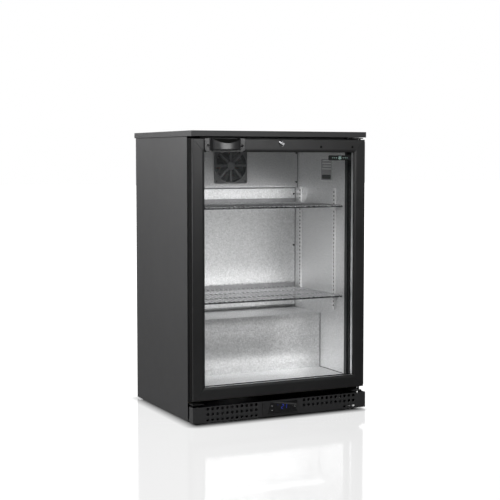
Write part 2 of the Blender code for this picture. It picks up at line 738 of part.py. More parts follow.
def make_hinges():
    top_z = CORE_TOP + GAP
    bottom_z = BASE_Z - SHEET - GAP - 0.003
    pin = (HINGE_X, back(HINGE_DEPTH))
    top = part("hinge_bracket_top", hinge_plate(1, 0.004, top_z), "black_steel")
    low = DOOR_TOP - PIN_BITE
    join(top, cylinder((*pin, (low + top_z + 0.001) / 2), PIN_RADIUS, top_z + 0.001 - low,
                       sides=16))
    bottom = part("hinge_bracket_bottom", hinge_plate(1, 0.004, bottom_z), "black_steel")
    high = DOOR_BOTTOM + PIN_BITE
    start = bottom_z + 0.002
    join(bottom, cylinder((*pin, (start + high) / 2), PIN_RADIUS, high - start, sides=16))
    spare = part("spare_hinge_bracket", hinge_plate(-1, 0.014, bottom_z), "black_steel")
    cut(spare, cylinder((-HINGE_X, back(0.024), bottom_z), PIN_RADIUS, 0.020, sides=12))


# ------------------------------------------------------------------ door
def frame_profile():
    """Section of the door frame: u in from the outer edge, v back from the front face."""
    lip = 0.0067
    rear = FRAME_THICK + GAP
    groove = FRAME_WIDTH - REBATE
    edge = arc(0.003, 0.003, 0.003, 180, 270, 3)
    return edge + [(0.032, 0), (0.0388, 0.0012), (FRAME_WIDTH, 0.0026), (FRAME_WIDTH, lip),
                   (groove, lip), (groove, rear), (FRAME_WIDTH, rear), (FRAME_WIDTH, 0.030),
                   (0.008, 0.030), (0.008, FRAME_THICK), (0, FRAME_THICK)]


def frame_member(name, length, corner, inward, along):
    """A length of the frame profile with a mitre at both ends."""
    shape = outline([frame_profile()], length, "XY", 0)
    for vertex in shape.verts:
        reach = length / 2 - vertex.co.x - GAP / 2
        vertex.co.z = math.copysign(reach, vertex.co.z)
    basis = Matrix((inward, (0, 1, 0), along)).transposed().to_4x4()
    shape.transform(Matrix.Translation(corner) @ basis)
    return part(name, shape, "black_aluminium", hinge_origin())


def hinge_origin():
    return (HINGE_X, back(HINGE_DEPTH), 0)


def corner_chamfers():
    """Wedges that take the sharp tips off the two corners on the hinge side."""
    shape = bmesh.new()
    for z in (DOOR_BOTTOM, DOOR_TOP):
        wedge = box((-0.006, -0.001, -0.006), (0.006, 0.040, 0.006))
        wedge.transform(Matrix.Translation((BODY_HALF + 0.0010, back(0), z))
                        @ Matrix.Rotation(math.radians(45), 4, "Y"))
        mesh = bpy.data.meshes.new("wedge")
        wedge.to_mesh(mesh)
        wedge.free()
        shape.from_mesh(mesh)
        bpy.data.meshes.remove(mesh)
    return shape


def make_door():
    width = 2 * BODY_HALF
    height = DOOR_TOP - DOOR_BOTTOM
    middle = (DOOR_TOP + DOOR_BOTTOM) / 2
    y = back(0)
    left = frame_member("door_stile_left", height, (-BODY_HALF, y, middle), (1, 0, 0), (0, 0, 1))
    right = frame_member("door_stile_right", height, (BODY_HALF, y, middle), (-1, 0, 0), (0, 0, 1))
    top = frame_member("door_rail_top", width, (0, y, DOOR_TOP), (0, 0, -1), (1, 0, 0))
    bottom = frame_member("door_rail_bottom", width, (0, y, DOOR_BOTTOM), (0, 0, 1), (1, 0, 0))
    for member in (right, top, bottom):
        cut(member, corner_chamfers())
    pin = (HINGE_X, back(HINGE_DEPTH))
    reach = PIN_BITE + GAP
    for member, z in ((top, DOOR_TOP), (bottom, DOOR_BOTTOM)):
        cut(member, cylinder((*pin, z), PIN_RADIUS + 0.0004, 2 * reach, sides=16))
    cut(top, box((-0.0065, back(0.0165), LOCK_Z - 0.007), (0.0245, back(0.0215), DOOR_TOP + 0.002)))
    cut(top, cylinder((0, back(0.005), LOCK_Z), 0.0083, 0.030, "Y", 24))

    groove = FRAME_WIDTH - REBATE + GAP
    half = BODY_HALF - groove
    low = DOOR_BOTTOM + groove
    high = DOOR_TOP - groove
    for name, (y0, y1) in (("glass_outer", PANE_OUTER), ("glass_inner", PANE_INNER)):
        part(name, box((-half, back(y0), low), (half, back(y1), high)), "glass", hinge_origin())
    part("glass_spacer", frame_ring(half, low, high, SPACER_WIDTH, *SPACER), "bright_steel",
         hinge_origin())
    inset = BODY_HALF - GASKET_HALF
    part("door_gasket", frame_ring(GASKET_HALF, DOOR_BOTTOM + inset, DOOR_TOP - inset,
                                   GASKET_WIDTH, GASKET_FRONT, PANEL_FRONT - GAP), "rubber",
         hinge_origin())


def make_lock():
    """A cam lock: a fixed barrel in the top rail, and a plug that turns the cam."""
    centre = (0, back(0), LOCK_Z)
    barrel = part("lock_barrel", cylinder((0, back(0.0072), LOCK_Z), 0.008, 0.0180, "Y", 24),
                  "chrome", centre)
    join(barrel, cylinder((0, back(-0.0014), LOCK_Z), 0.0098, 0.0022, "Y", 32))
    cut(barrel, cylinder((0, back(0.005), LOCK_Z), 0.0053, 0.040, "Y", 24))
    cam = part("lock_cam", cylinder((0, back(0.0078), LOCK_Z), 0.0050, 0.0190, "Y", 24), "chrome",
               centre)
    join(cam, box((-CAM_WIDTH / 2, back(0.0173), LOCK_Z - CAM_WIDTH / 2),
                  (CAM_LENGTH, back(0.0203), LOCK_Z + CAM_WIDTH / 2)))


def make_handle():
    """A moulded cup with a curved front, open at the top, on two screw lugs."""
    left, right = HANDLE_X
    low, high = HANDLE_Z
    corner, lug = 0.010, 0.0047
    plate = (arc(left + corner, low + corner, corner, 180, 270, 4)
             + arc(right - corner, low + corner, corner, 270, 360, 4)
             + [(right, high), (left, high)])
    handle = part("handle", outline([plate], lug, "XZ", back(-GAP - lug / 2)), "black_plastic",
                  hinge_origin())
    cup_left, cup_right = CUP_X
    middle = (cup_left + cup_right) / 2
    half = (cup_right - cup_left) / 2
    radius = (half ** 2 + CUP_BULGE ** 2) / (2 * CUP_BULGE)
    front = bowed(middle, half, radius, radius, 10)
    cup = [(cup_left, back(-0.002))] + front + [(cup_right, back(-0.002))]
    join(handle, outline([cup], high - CUP_BOTTOM, "XY", (CUP_BOTTOM + high) / 2))
    inner_half = half - CUP_WALL
    inner = bowed(middle, inner_half, radius, radius - CUP_WALL, 8)
    pocket = [(middle - inner_half, back(-0.0040))] + inner + [(middle + inner_half, back(-0.0040))]
    cut(handle, outline([pocket], 0.060, "XY", CUP_BOTTOM + CUP_WALL + 0.030))
    arch = (half ** 2 + RIM_DIP ** 2) / (2 * RIM_DIP)
    front_depth = HANDLE_REACH - CUP_BULGE + 0.002
    cut(handle, cylinder((middle, back(-front_depth), RIM_Z + arch), arch, 0.022, "Y", 64))
    for x in HANDLE_SCREWS:
        cut(handle, cylinder((x, back(-0.0040), HANDLE_SCREW_Z), 0.0042, 0.0040, "Y", 16))


def bowed(middle, half, centre_reach, radius, steps):
    """An arc that bulges forward round the centre of the handle's bowed front."""
    sweep = math.degrees(math.asin(half / radius))
    return arc(middle, back(-HANDLE_REACH + centre_reach), radius, 270 - sweep, 270 + sweep, steps)


def make_all():
    make_side_panels()
    make_worktop()
    make_back_panel()
    make_base_pan()
    make_insulation()
    make_liner()
    make_front_frame()
    make_base_frame()
    make_feet()
    make_evaporator()
    make_duct_panel()
    make_light()
    make_shelf_rails()
    make_shelf_clips()
    make_shelves()
    make_plinth()
    make_controller()
    make_machinery()
    make_rear_grille()
    make_hinges()
    make_door()
    make_lock()
    make_handle()
    for obj in PARTS.objects:
        smooth(obj)


make_all()
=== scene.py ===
"""Undercounter refrigerator: the visual model, its finishes, the studio and the camera.

Metres, +Z up, the front faces -Y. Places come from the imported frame's own boxes.
"""
import math

import bmesh
import bpy
from mathutils import Matrix, Vector


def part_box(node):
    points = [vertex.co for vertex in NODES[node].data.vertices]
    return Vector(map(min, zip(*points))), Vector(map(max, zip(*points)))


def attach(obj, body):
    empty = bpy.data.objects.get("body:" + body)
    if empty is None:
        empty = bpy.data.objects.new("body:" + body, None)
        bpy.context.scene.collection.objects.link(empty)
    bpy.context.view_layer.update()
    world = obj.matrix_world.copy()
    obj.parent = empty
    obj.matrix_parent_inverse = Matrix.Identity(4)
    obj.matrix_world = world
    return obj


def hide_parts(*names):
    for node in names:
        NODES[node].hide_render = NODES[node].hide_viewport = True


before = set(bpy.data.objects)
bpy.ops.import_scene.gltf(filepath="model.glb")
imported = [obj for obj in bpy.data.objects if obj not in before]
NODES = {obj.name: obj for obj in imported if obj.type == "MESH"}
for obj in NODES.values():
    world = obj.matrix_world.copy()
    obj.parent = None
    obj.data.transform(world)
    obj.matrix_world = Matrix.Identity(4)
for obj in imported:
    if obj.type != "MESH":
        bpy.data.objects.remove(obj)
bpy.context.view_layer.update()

DOOR_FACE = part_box("door_rail_top")[0].y
LINER = 0.001                    # the inner liner's sheet
INNER_HALF = -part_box("inner_liner")[0].x - LINER
FLOOR_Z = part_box("inner_liner")[0].z + LINER
STEP_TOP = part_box("duct_panel")[0].z - 0.011
STEP_FRONT = 0.213               # behind the door's front face
FAN_Z = sum(corner.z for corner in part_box("evaporator_fan_guard")) / 2
AXES = {
    "X": Matrix.Rotation(math.pi / 2, 4, "Y"),
    "Y": Matrix.Rotation(-math.pi / 2, 4, "X"),
    "-Y": Matrix.Rotation(math.pi / 2, 4, "X"),
    "Z": Matrix.Identity(4),
}
PLANES = {                       # from an outline's own x, y and thickness to the world
    "XY": Matrix.Identity(4),
    "XZ": Matrix(((1, 0, 0, 0), (0, 0, -1, 0), (0, 1, 0, 0), (0, 0, 0, 1))),
    "YZ": Matrix(((0, 0, 1, 0), (1, 0, 0, 0), (0, 1, 0, 0), (0, 0, 0, 1))),
}


def back(distance):
    """World y of a plane that lies this far behind the door's front face."""
    return DOOR_FACE + distance


# ---- material nodes
def connect(tree, inputs, *values, **named):
    """Set inputs by place or name, or link them where the value is another node's output."""
    pairs = list(zip(inputs, values))
    pairs += [(inputs[name.replace("_", " ")], value) for name, value in named.items()]
    for socket, value in pairs:
        if isinstance(value, bpy.types.NodeSocket):
            tree.links.new(value, socket)
        else:
            socket.default_value = value


def node(tree, kind, output, *values, mode=None, **named):
    """One output of a new shader node, whose inputs are set or linked."""
    made = tree.nodes.new("ShaderNode" + kind)
    if mode:
        setattr(made, "data_type" if kind == "Mix" else "operation", mode)
    connect(tree, made.inputs, *values, **named)
    return made.outputs[output]


def blank_material(name):
    material = bpy.data.materials.new(name)
    material.use_nodes = True
    return material, material.node_tree, material.node_tree.nodes["Principled BSDF"]


def pattern(tree, kind, size, stretch=(1, 1, 1), output="Fac", **inputs):
    """A procedural pattern whose features are about this big, in metres."""
    place = node(tree, "TexCoord", "Object")
    place = node(tree, "Mapping", "Vector", Vector=place, Scale=stretch)
    return node(tree, "Tex" + kind, output, Vector=place, Scale=1 / size, **inputs)


def ranged(tree, source, low, high, start=0.3, end=0.7):
    """A pattern's values from start to end, drawn out from low to high."""
    return node(tree, "MapRange", "Result", source, start, end, low, high)


def toned(tree, source, colour, spread):
    """The colour, darker and lighter by the spread where the pattern says."""
    dark, light = ((*(min(1, c * (1 + s)) for c in colour), 1) for s in (-spread, spread))
    return node(tree, "Mix", "Result", mode="RGBA", A=dark, B=light,
                Factor=ranged(tree, source, 0, 1))


def bump(tree, shader, source, depth, before=None):
    """A relief on the shader, on top of the one before it where there is one."""
    relief = node(tree, "Bump", "Normal", Strength=1.0, Distance=depth, Height=source)
    if before:
        tree.links.new(before, relief.node.inputs["Normal"])
    tree.links.new(relief, shader.inputs["Normal"])
    return relief


def finish(name, colour, roughness, metallic=0.0, spread=0.10, patch=0.05, gloss_spread=0.05,
           grain=0.001, depth=0.00001, stretch=(1, 1, 1), kind="Noise", **sockets):
    """A finish whose tone, gloss and surface vary: in patches, and in a fine raised grain."""
    material, tree, shader = blank_material(name)
    patches = pattern(tree, "Noise", patch, stretch, Detail=4.0)
    gloss = pattern(tree, "Noise", patch / 3, stretch, Detail=3.0)
    connect(tree, shader.inputs, Metallic=metallic,
            Base_Color=toned(tree, patches, colour, spread),
            Roughness=ranged(tree, gloss, roughness - gloss_spread, roughness + gloss_spread),
            **sockets)
    output = "Fac" if kind == "Noise" else "Distance"
    bump(tree, shader, pattern(tree, kind, grain, stretch, output), depth)
    return material


def stucco_aluminium(name, brightness):
    """Embossed aluminium sheet: rounded pebbles of a few millimetres with a fine sparkle."""
    material, tree, shader = blank_material(name)
    pebbles = pattern(tree, "Voronoi", 0.0050, output="Distance", Randomness=1.0)
    clouds = pattern(tree, "Noise", 0.005, Detail=3.0)
    tint = (brightness, brightness * 1.005, brightness * 1.01)
    connect(tree, shader.inputs, Metallic=0.75, Base_Color=toned(tree, clouds, tint, 0.17),
            Roughness=ranged(tree, clouds, 0.36, 0.52))
    relief = bump(tree, shader, pebbles, 0.0007)
    bump(tree, shader, pattern(tree, "Noise", 0.0030, Detail=2.0), 0.0003, relief)
    return material


def galvanised(name, colour, roughness):
    """Zinc with its crystal spangle."""
    material, tree, shader = blank_material(name)
    spangle = pattern(tree, "Voronoi", 0.009, output="Color", Randomness=1.0)
    connect(tree, shader.inputs, Metallic=0.9, Base_Color=toned(tree, spangle, colour, 0.16),
            Roughness=ranged(tree, spangle, roughness, roughness + 0.18))
    bump(tree, shader, pattern(tree, "Noise", 0.003, Detail=3.0), 0.00002)
    return material


def pane_glass(name):
    """Clear float glass: a thin veil of gloss over what is behind it."""
    material, tree, shader = blank_material(name)
    smears = pattern(tree, "Noise", 0.12, (1, 1, 0.4), Detail=5.0)
    connect(tree, shader.inputs, Base_Color=toned(tree, smears, (0.012, 0.018, 0.017), 0.3),
            Roughness=ranged(tree, smears, 0.02, 0.06), IOR=1.52, Specular_IOR_Level=1.0,
            Coat_Weight=1.0, Coat_Roughness=0.02, Alpha=0.07)
    return material


MATERIALS = {
    "powder": finish("black_powder_coat", (0.022, 0.022, 0.023), 0.46, spread=0.06, patch=0.3,
                     gloss_spread=0.03, grain=0.0011, depth=0.00003),
    "door": finish("black_door_frame", (0.012, 0.012, 0.0125), 0.34, spread=0.08, patch=0.12,
                   gloss_spread=0.03, grain=0.0008),
    "plastic": finish("moulded_black_plastic", (0.017, 0.017, 0.018), 0.46, grain=0.0009,
                      depth=0.00002, kind="Voronoi"),
    "handle": finish("handle_plastic", (0.018, 0.018, 0.019), 0.20, spread=0.08,
                     gloss_spread=0.03, grain=0.002, depth=0.000004),
    # near black with almost no gloss: painted shade, put where hollows and gaps lie in shadow
    "painted_shade": finish("shaded_plastic", (0.003, 0.003, 0.003), 0.8, Specular_IOR_Level=0.1),
    "guard": finish("guard_plastic", (0.095, 0.095, 0.098), 0.34),
    "screw": finish("black_screw", (0.03, 0.03, 0.03), 0.35, 0.6, grain=0.0005),
    "plated": finish("zinc_plated_screw", (0.60, 0.60, 0.58), 0.30, 1.0, grain=0.0005),
    "liner": stucco_aluminium("stucco_aluminium", 0.76),
    # the same embossed sheet, darker: painted shade on the evaporator cover
    "cover": stucco_aluminium("shaded_stucco_aluminium", 0.54),
    "dull_zinc": galvanised("dull_galvanised_steel", (0.12, 0.125, 0.13), 0.72),
    "wire": finish("bright_wire", (0.58, 0.58, 0.59), 0.16, 1.0, patch=0.02, gloss_spread=0.04,
                   grain=0.0008),
    # the same plated wire, darker: painted shade on the shelves' front wires
    "dark_wire": finish("shaded_front_wire", (0.17, 0.17, 0.175), 0.28, 1.0, patch=0.02, grain=0.0008),
    "lip": finish("satin_strip", (0.30, 0.30, 0.305), 0.55, 0.3, patch=0.03),
    # near white and barely metallic: painted light, so the rails' front flanges and the clips look
    # brightly lit
    "rail": finish("painted_lit_strip", (0.90, 0.90, 0.90), 0.36, 0.1, spread=0.04, patch=0.03,
                   stretch=(1, 1, 0.1)),
    "fin": finish("aluminium_fin", (0.66, 0.67, 0.68), 0.38, 1.0, patch=0.02),
    "chrome": finish("chrome", (0.40, 0.40, 0.41), 0.20, 1.0, spread=0.03, gloss_spread=0.02,
                     grain=0.002, depth=0.000004),
    "copper": finish("copper", (0.62, 0.30, 0.19), 0.32, 1.0, spread=0.16, patch=0.03),
    "rubber": finish("black_rubber", (0.014, 0.014, 0.014), 0.68, grain=0.0006),
    "foam": finish("polyurethane_foam", (0.74, 0.64, 0.38), 0.9, spread=0.14, patch=0.02,
                   grain=0.0015, depth=0.0004, kind="Voronoi"),
    # painted shadow in the narrow gaps at the liner's corners and below the cover
    "shadow_line": finish("painted_gap_shadow", (0.045, 0.045, 0.046), 0.6),
    "white": finish("white_plastic", (0.80, 0.81, 0.82), 0.38, spread=0.03),
    "diffuser": finish("light_diffuser", (0.85, 0.86, 0.88), 0.35, grain=0.002,
                       Emission_Color=(1.0, 0.98, 0.95, 1), Emission_Strength=1.0),
    "lens": finish("display_lens", (0.010, 0.010, 0.011), 0.16, spread=0.2, patch=0.02,
                   gloss_spread=0.03, grain=0.004, depth=0.000002),
    "digit": finish("display_digit", (0.01, 0.02, 0.20), 0.35, grain=0.002,
                    Emission_Color=(0.02, 0.04, 0.45, 1), Emission_Strength=0.45),
    "label": finish("printed_label", (0.88, 0.88, 0.88), 0.45, spread=0.05, patch=0.01),
    "faint": finish("faint_print", (0.42, 0.42, 0.425), 0.5, spread=0.12, patch=0.004),
    "print": finish("label_print", (0.060, 0.060, 0.062), 0.5, spread=0.12, patch=0.004),
    "badge": finish("badge_plate", (0.004, 0.005, 0.005), 0.45, grain=0.002, depth=0.000003,
                    Specular_IOR_Level=0.2),
    "mark": finish("badge_mark", (0.55, 0.80, 0.74), 0.35, spread=0.04, grain=0.002),
    "glass": pane_glass("float_glass"),
    "compressor": finish("compressor_enamel", (0.016, 0.016, 0.017), 0.30, patch=0.04,
                         grain=0.0016, depth=0.00003),
}


# ---- shapes
def merge(shape, *others):
    for other in others:
        mesh = bpy.data.meshes.new("merge")
        other.to_mesh(mesh)
        other.free()
        shape.from_mesh(mesh)
        bpy.data.meshes.remove(mesh)
    return shape


def box(corner, opposite, shape=None):
    """A box between two opposite corners, in any order."""
    shape = shape or bmesh.new()
    low, high = (Vector(map(pick, corner, opposite)) for pick in (min, max))
    size = Matrix.Diagonal((*(high - low), 1))
    bmesh.ops.create_cube(shape, size=1, matrix=Matrix.Translation((low + high) / 2) @ size)
    return shape


def cylinder(centre, radius, length, axis="Z", sides=24, shape=None):
    shape = shape or bmesh.new()
    bmesh.ops.create_cone(shape, cap_ends=True, segments=sides, radius1=radius, radius2=radius,
                          depth=length, matrix=Matrix.Translation(centre) @ AXES[axis])
    return shape


def rectangle(x0, x1, y0, y1):
    return [(x0, y0), (x1, y0), (x1, y1), (x0, y1)]


def arc(cx, cy, radius, start, end, steps):
    """Points of an arc, with its angles in degrees."""
    angles = [math.radians(start + (end - start) * i / steps) for i in range(steps + 1)]
    return [(cx + radius * math.cos(a), cy + radius * math.sin(a)) for a in angles]


def circle(cx, cy, radius, sides):
    return arc(cx, cy, radius, 0, 360, sides)[:-1]


def rounded_rectangle(x0, x1, y0, y1, radius, steps=5):
    corners = ((x1 - radius, y1 - radius, 0), (x0 + radius, y1 - radius, 90),
               (x0 + radius, y0 + radius, 180), (x1 - radius, y0 + radius, 270))
    points = []
    for cx, cy, start in corners:
        points += arc(cx, cy, radius, start, start + 90, steps)
    return points


def outline(loops, thickness, plane, middle):
    """A flat outline with holes, given a thickness about the middle of its plane."""
    curve = bpy.data.curves.new("outline", "CURVE")
    curve.dimensions = "2D"
    curve.fill_mode = "BOTH"
    curve.extrude = thickness / 2
    for loop in loops:
        spline = curve.splines.new("POLY")
        spline.points.add(len(loop) - 1)
        for point, (x, y) in zip(spline.points, loop):
            point.co = (x, y, 0, 1)
        spline.use_cyclic_u = True
    source = bpy.data.objects.new("outline", curve)
    bpy.context.scene.collection.objects.link(source)
    shape = taken(source)
    bpy.data.curves.remove(curve)
    bmesh.ops.remove_doubles(shape, verts=shape.verts, dist=0.000005)
    flat = math.radians(1)
    bmesh.ops.dissolve_limit(shape, angle_limit=flat, verts=shape.verts, edges=shape.edges)
    normal = PLANES[plane].to_3x3() @ Vector((0, 0, 1))
    lift = Vector(abs(part) * middle for part in normal)
    shape.transform(Matrix.Translation(lift) @ PLANES[plane])
    return shape


def turned(profile, centre, axis="Z", sides=40):
    """A turned shape from (radius, height) points; a first or last radius of 0 closes it."""
    shape = bmesh.new()
    verts = [shape.verts.new((r, 0, h)) for r, h in profile]
    edges = [shape.edges.new(pair) for pair in zip(verts, verts[1:])]
    bmesh.ops.spin(shape, geom=verts + edges, cent=(0, 0, 0), axis=(0, 0, 1),
                   angle=2 * math.pi, steps=sides, use_merge=True)
    bmesh.ops.remove_doubles(shape, verts=shape.verts, dist=0.000002)
    shape.transform(Matrix.Translation(centre) @ AXES[axis])
    return shape


def bridge(shape, rings):
    """Faces between one closed ring of points and the next."""
    for near, far in zip(rings, rings[1:]):
        for i in range(len(near)):
            j = (i + 1) % len(near)
            shape.faces.new((near[i], near[j], far[j], far[i]))


def tube(path, radius, sides=8, shape=None):
    """A round wire or pipe along a path, with closed ends."""
    shape = shape or bmesh.new()
    path = [Vector(point) for point in path]
    tangent = (path[1] - path[0]).normalized()
    side = tangent.orthogonal().normalized()
    rings = []
    for i, point in enumerate(path):
        ahead = (path[min(i + 1, len(path) - 1)] - path[max(i - 1, 0)]).normalized()
        side = tangent.rotation_difference(ahead) @ side
        tangent = ahead
        up = tangent.cross(side)
        rings.append([shape.verts.new(point + x * side + y * up)
                      for x, y in circle(0, 0, radius, sides)])
    bridge(shape, rings)
    shape.faces.new(reversed(rings[0]))
    shape.faces.new(rings[-1])
    return shape


def rounded_path(points, radius, steps=5):
    """A path through these corners, with each one rounded."""
    corners = [Vector(point) for point in points]
    path = [corners[0]]
    for before, corner, after in zip(corners, corners[1:], corners[2:]):
        start = corner + (before - corner).normalized() * radius
        end = corner + (after - corner).normalized() * radius
        for i in range(steps + 1):
            t = i / steps
            path.append(start.lerp(corner, t).lerp(corner.lerp(end, t), t))
    return path + [corners[-1]]


def grid_surface(rows):
    """A surface through rows of points."""
    shape = bmesh.new()
    verts = [[shape.verts.new(point) for point in row] for row in rows]
    for near, far in zip(verts, verts[1:]):
        for corners in zip(near, near[1:], far[1:], far):
            shape.faces.new(corners)
    return shape


def swept_frame(profile, half, low, high):
    """A profile of (inward, depth) points, drawn round a rectangle with mitred corners."""
    shape = bmesh.new()
    rings = [[shape.verts.new((x, back(depth), z)) for x, z in
              rectangle(inward - half, half - inward, low + inward, high - inward)]
             for inward, depth in profile]
    bridge(shape, rings + rings[:1])
    return shape


def helper_object(name, shape):
    bmesh.ops.recalc_face_normals(shape, faces=shape.faces)
    mesh = bpy.data.meshes.new(name)
    shape.to_mesh(mesh)
    shape.free()
    obj = bpy.data.objects.new(name, mesh)
    bpy.context.scene.collection.objects.link(obj)
    return obj


def taken(obj):
    """The object's evaluated mesh as a shape; the object goes."""
    graph = bpy.context.evaluated_depsgraph_get()
    mesh = bpy.data.meshes.new_from_object(obj.evaluated_get(graph))
    shape = bmesh.new()
    shape.from_mesh(mesh)
    bpy.data.meshes.remove(mesh)
    bpy.data.objects.remove(obj)
    return shape


def carved(shape, cutter):
    """The shape with the cutter's space taken out of it."""
    body = helper_object("body", shape)
    tool = helper_object("tool", cutter)
    modifier = body.modifiers.new("cut", "BOOLEAN")
    modifier.operation = "DIFFERENCE"
    modifier.object = tool
    result = taken(body)
    bpy.data.objects.remove(tool)
    return result


def thickened(shape, thickness, offset=-1, inside=None):
    """An open surface made into a wall, whose inner side may have its own material."""
    sheet = helper_object("sheet", shape)
    modifier = sheet.modifiers.new("wall", "SOLIDIFY")
    if inside:
        for _ in range(2):
            sheet.data.materials.append(MATERIALS[inside])
        modifier.material_offset = 1
    modifier.thickness = thickness
    modifier.offset = offset
    modifier.use_even_offset = True
    return taken(sheet)


def mirrored(shape, side):
    """A shape made on the right, put on its own side of the cabinet: -1 is the left."""
    shape.transform(Matrix.Diagonal((side, 1, 1, 1)))
    return shape


def round_edges(obj, width, angle=38):
    modifier = obj.modifiers.new("rounded", "BEVEL")
    modifier.width = width
    modifier.segments = 2
    modifier.limit_method = "ANGLE"
    modifier.angle_limit = math.radians(angle)
    modifier.use_clamp_overlap = True
    weighted = obj.modifiers.new("normals", "WEIGHTED_NORMAL")
    weighted.keep_sharp = True


def piece(name, shape, material, body="cabinet", replaces=(), rounding=0.0, angle=38):
    """A finished piece that rides on a body, and stands for CAD nodes where it says so."""
    obj = helper_object(name, shape)
    obj.data.shade_smooth()
    if rounding:
        round_edges(obj, rounding, angle=angle)
    else:
        obj.data.set_sharp_from_angle(angle=math.radians(angle))
    obj.data.materials.append(MATERIALS[material])
    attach(obj, body)
    if replaces:
        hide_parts(*replaces)
    return obj


def screw_head():
    """A pan head of radius 1 with a cross recess, facing +Z."""
    head = turned([(0, 0.50), (0.45, 0.47), (0.78, 0.34), (0.96, 0.14), (1, 0), (0.9, -0.05),
                   (0, -0.05)], (0, 0, 0), sides=20)
    for x, y in ((0.58, 0.11), (0.11, 0.58)):
        head = carved(head, box((-x, -y, 0.20), (x, y, 0.8)))
    return head


SCREW = screw_head()


def screws(name, places, facing, radius, material, body="cabinet"):
    """A group of like screws, each turned a little further than the last."""
    group = bmesh.new()
    aim = Vector((0, 0, 1)).rotation_difference(Vector(facing)).to_matrix().to_4x4()
    for i, place in enumerate(places):
        spin = Matrix.Rotation(math.radians(25 * (i + 1)), 4, "Z")
        copy = SCREW.copy()
        copy.transform(Matrix.Translation(place) @ aim @ spin @ Matrix.Scale(radius, 4))
        merge(group, copy)
    return piece(name, group, material, body, angle=50)


# ---- CAD nodes that stay
KEPT = {                         # material and radius of the rounded edges: the nodes
    ("powder", 0.0010): ["worktop"],
    ("powder", 0.0005): ["side_panel_left", "side_panel_right", "hinge_bracket_top",
                         "hinge_bracket_bottom", "spare_hinge_bracket"],
    ("powder", 0.0004): ["back_panel", "base_pan", "condenser_fan_shroud", "rear_grille"],
    ("plastic", 0.0004): ["front_frame", "evaporator_fan_housing"],
    ("plastic", 0.0005): ["power_inlet", "key_up", "key_down", "key_set"],
    ("plastic", 0.0006): ["controller_housing"],
    ("door", 0.0004): ["door_stile_left", "door_stile_right", "door_rail_top",
                       "door_rail_bottom"],
    ("glass", 0.0005): ["glass_outer", "glass_inner"],
    ("liner", 0.0): ["inner_liner"],
    ("liner", 0.0004): ["duct_panel"],
    ("foam", 0.0): ["insulation_foam"],
    ("dull_zinc", 0.0003): ["base_frame"],
    ("white", 0.0005): ["drip_tray"],
    ("fin", 0.0006): ["glass_spacer"],
}


def finish_kept_node(obj, material, width):
    slot = obj.material_slots[0]
    slot.link = "OBJECT"
    slot.material = MATERIALS[material]
    if not width:
        return
    weld = obj.modifiers.new("weld", "WELD")
    weld.merge_threshold = 0.00001
    flat = obj.modifiers.new("flat", "DECIMATE")
    flat.decimate_type = "DISSOLVE"
    flat.angle_limit = math.radians(1)
    round_edges(obj, width)


# ---- door
def make_gasket():
    """A magnetic gasket: a foot in the frame, two bellows folds and the magnet's pocket."""
    low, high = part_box("door_gasket")
    depth, width = high.y - low.y, 0.022
    left = [(0.0, 0.0), (0.0, 0.14), (0.16, 0.24), (0.04, 0.40), (0.18, 0.54), (0.06, 0.66),
            (0.03, 1.0)]
    section = left + [(1 - u, v) for u, v in reversed(left)]
    profile = [(u * width, low.y - DOOR_FACE + v * depth) for u, v in section]
    ring = swept_frame(profile, high.x, low.z, high.z)
    piece("door_gasket_bellows", ring, "rubber", "door", ["door_gasket"], 0.0006, 20)


def make_handle_plate(low, high, plate_front):
    """The flat back of the pull, whose lugs have sunk screws."""
    corner, sheet = 0.010, plate_front - 0.0003
    plate = (arc(low.x + corner, low.z + corner, corner, 180, 270, 8)
             + arc(high.x - corner, low.z + corner, corner, 270, 360, 8)
             + [(high.x, high.z), (low.x, high.z)])
    lugs = outline([plate], sheet, "XZ", back(-plate_front / 2 - 0.00015))
    places = [(low.x + 0.0104, 0.835), (high.x - 0.0095, 0.835)]
    sinks = bmesh.new()
    for x, z in places:
        merge(sinks, turned([(0, 0.0026), (0.0026, 0.0024), (0.0044, -0.0002),
                             (0.0044, -0.002), (0, -0.002)], (x, back(-plate_front), z), "Y", 28))
    piece("handle_plate", carved(lugs, sinks), "handle", "door", ["handle"],
          0.0014)
    screws("handle_screws", [(x, back(-plate_front + 0.0024), z) for x, z in places],
           (0, -1, 0), 0.0036, "screw", "door")


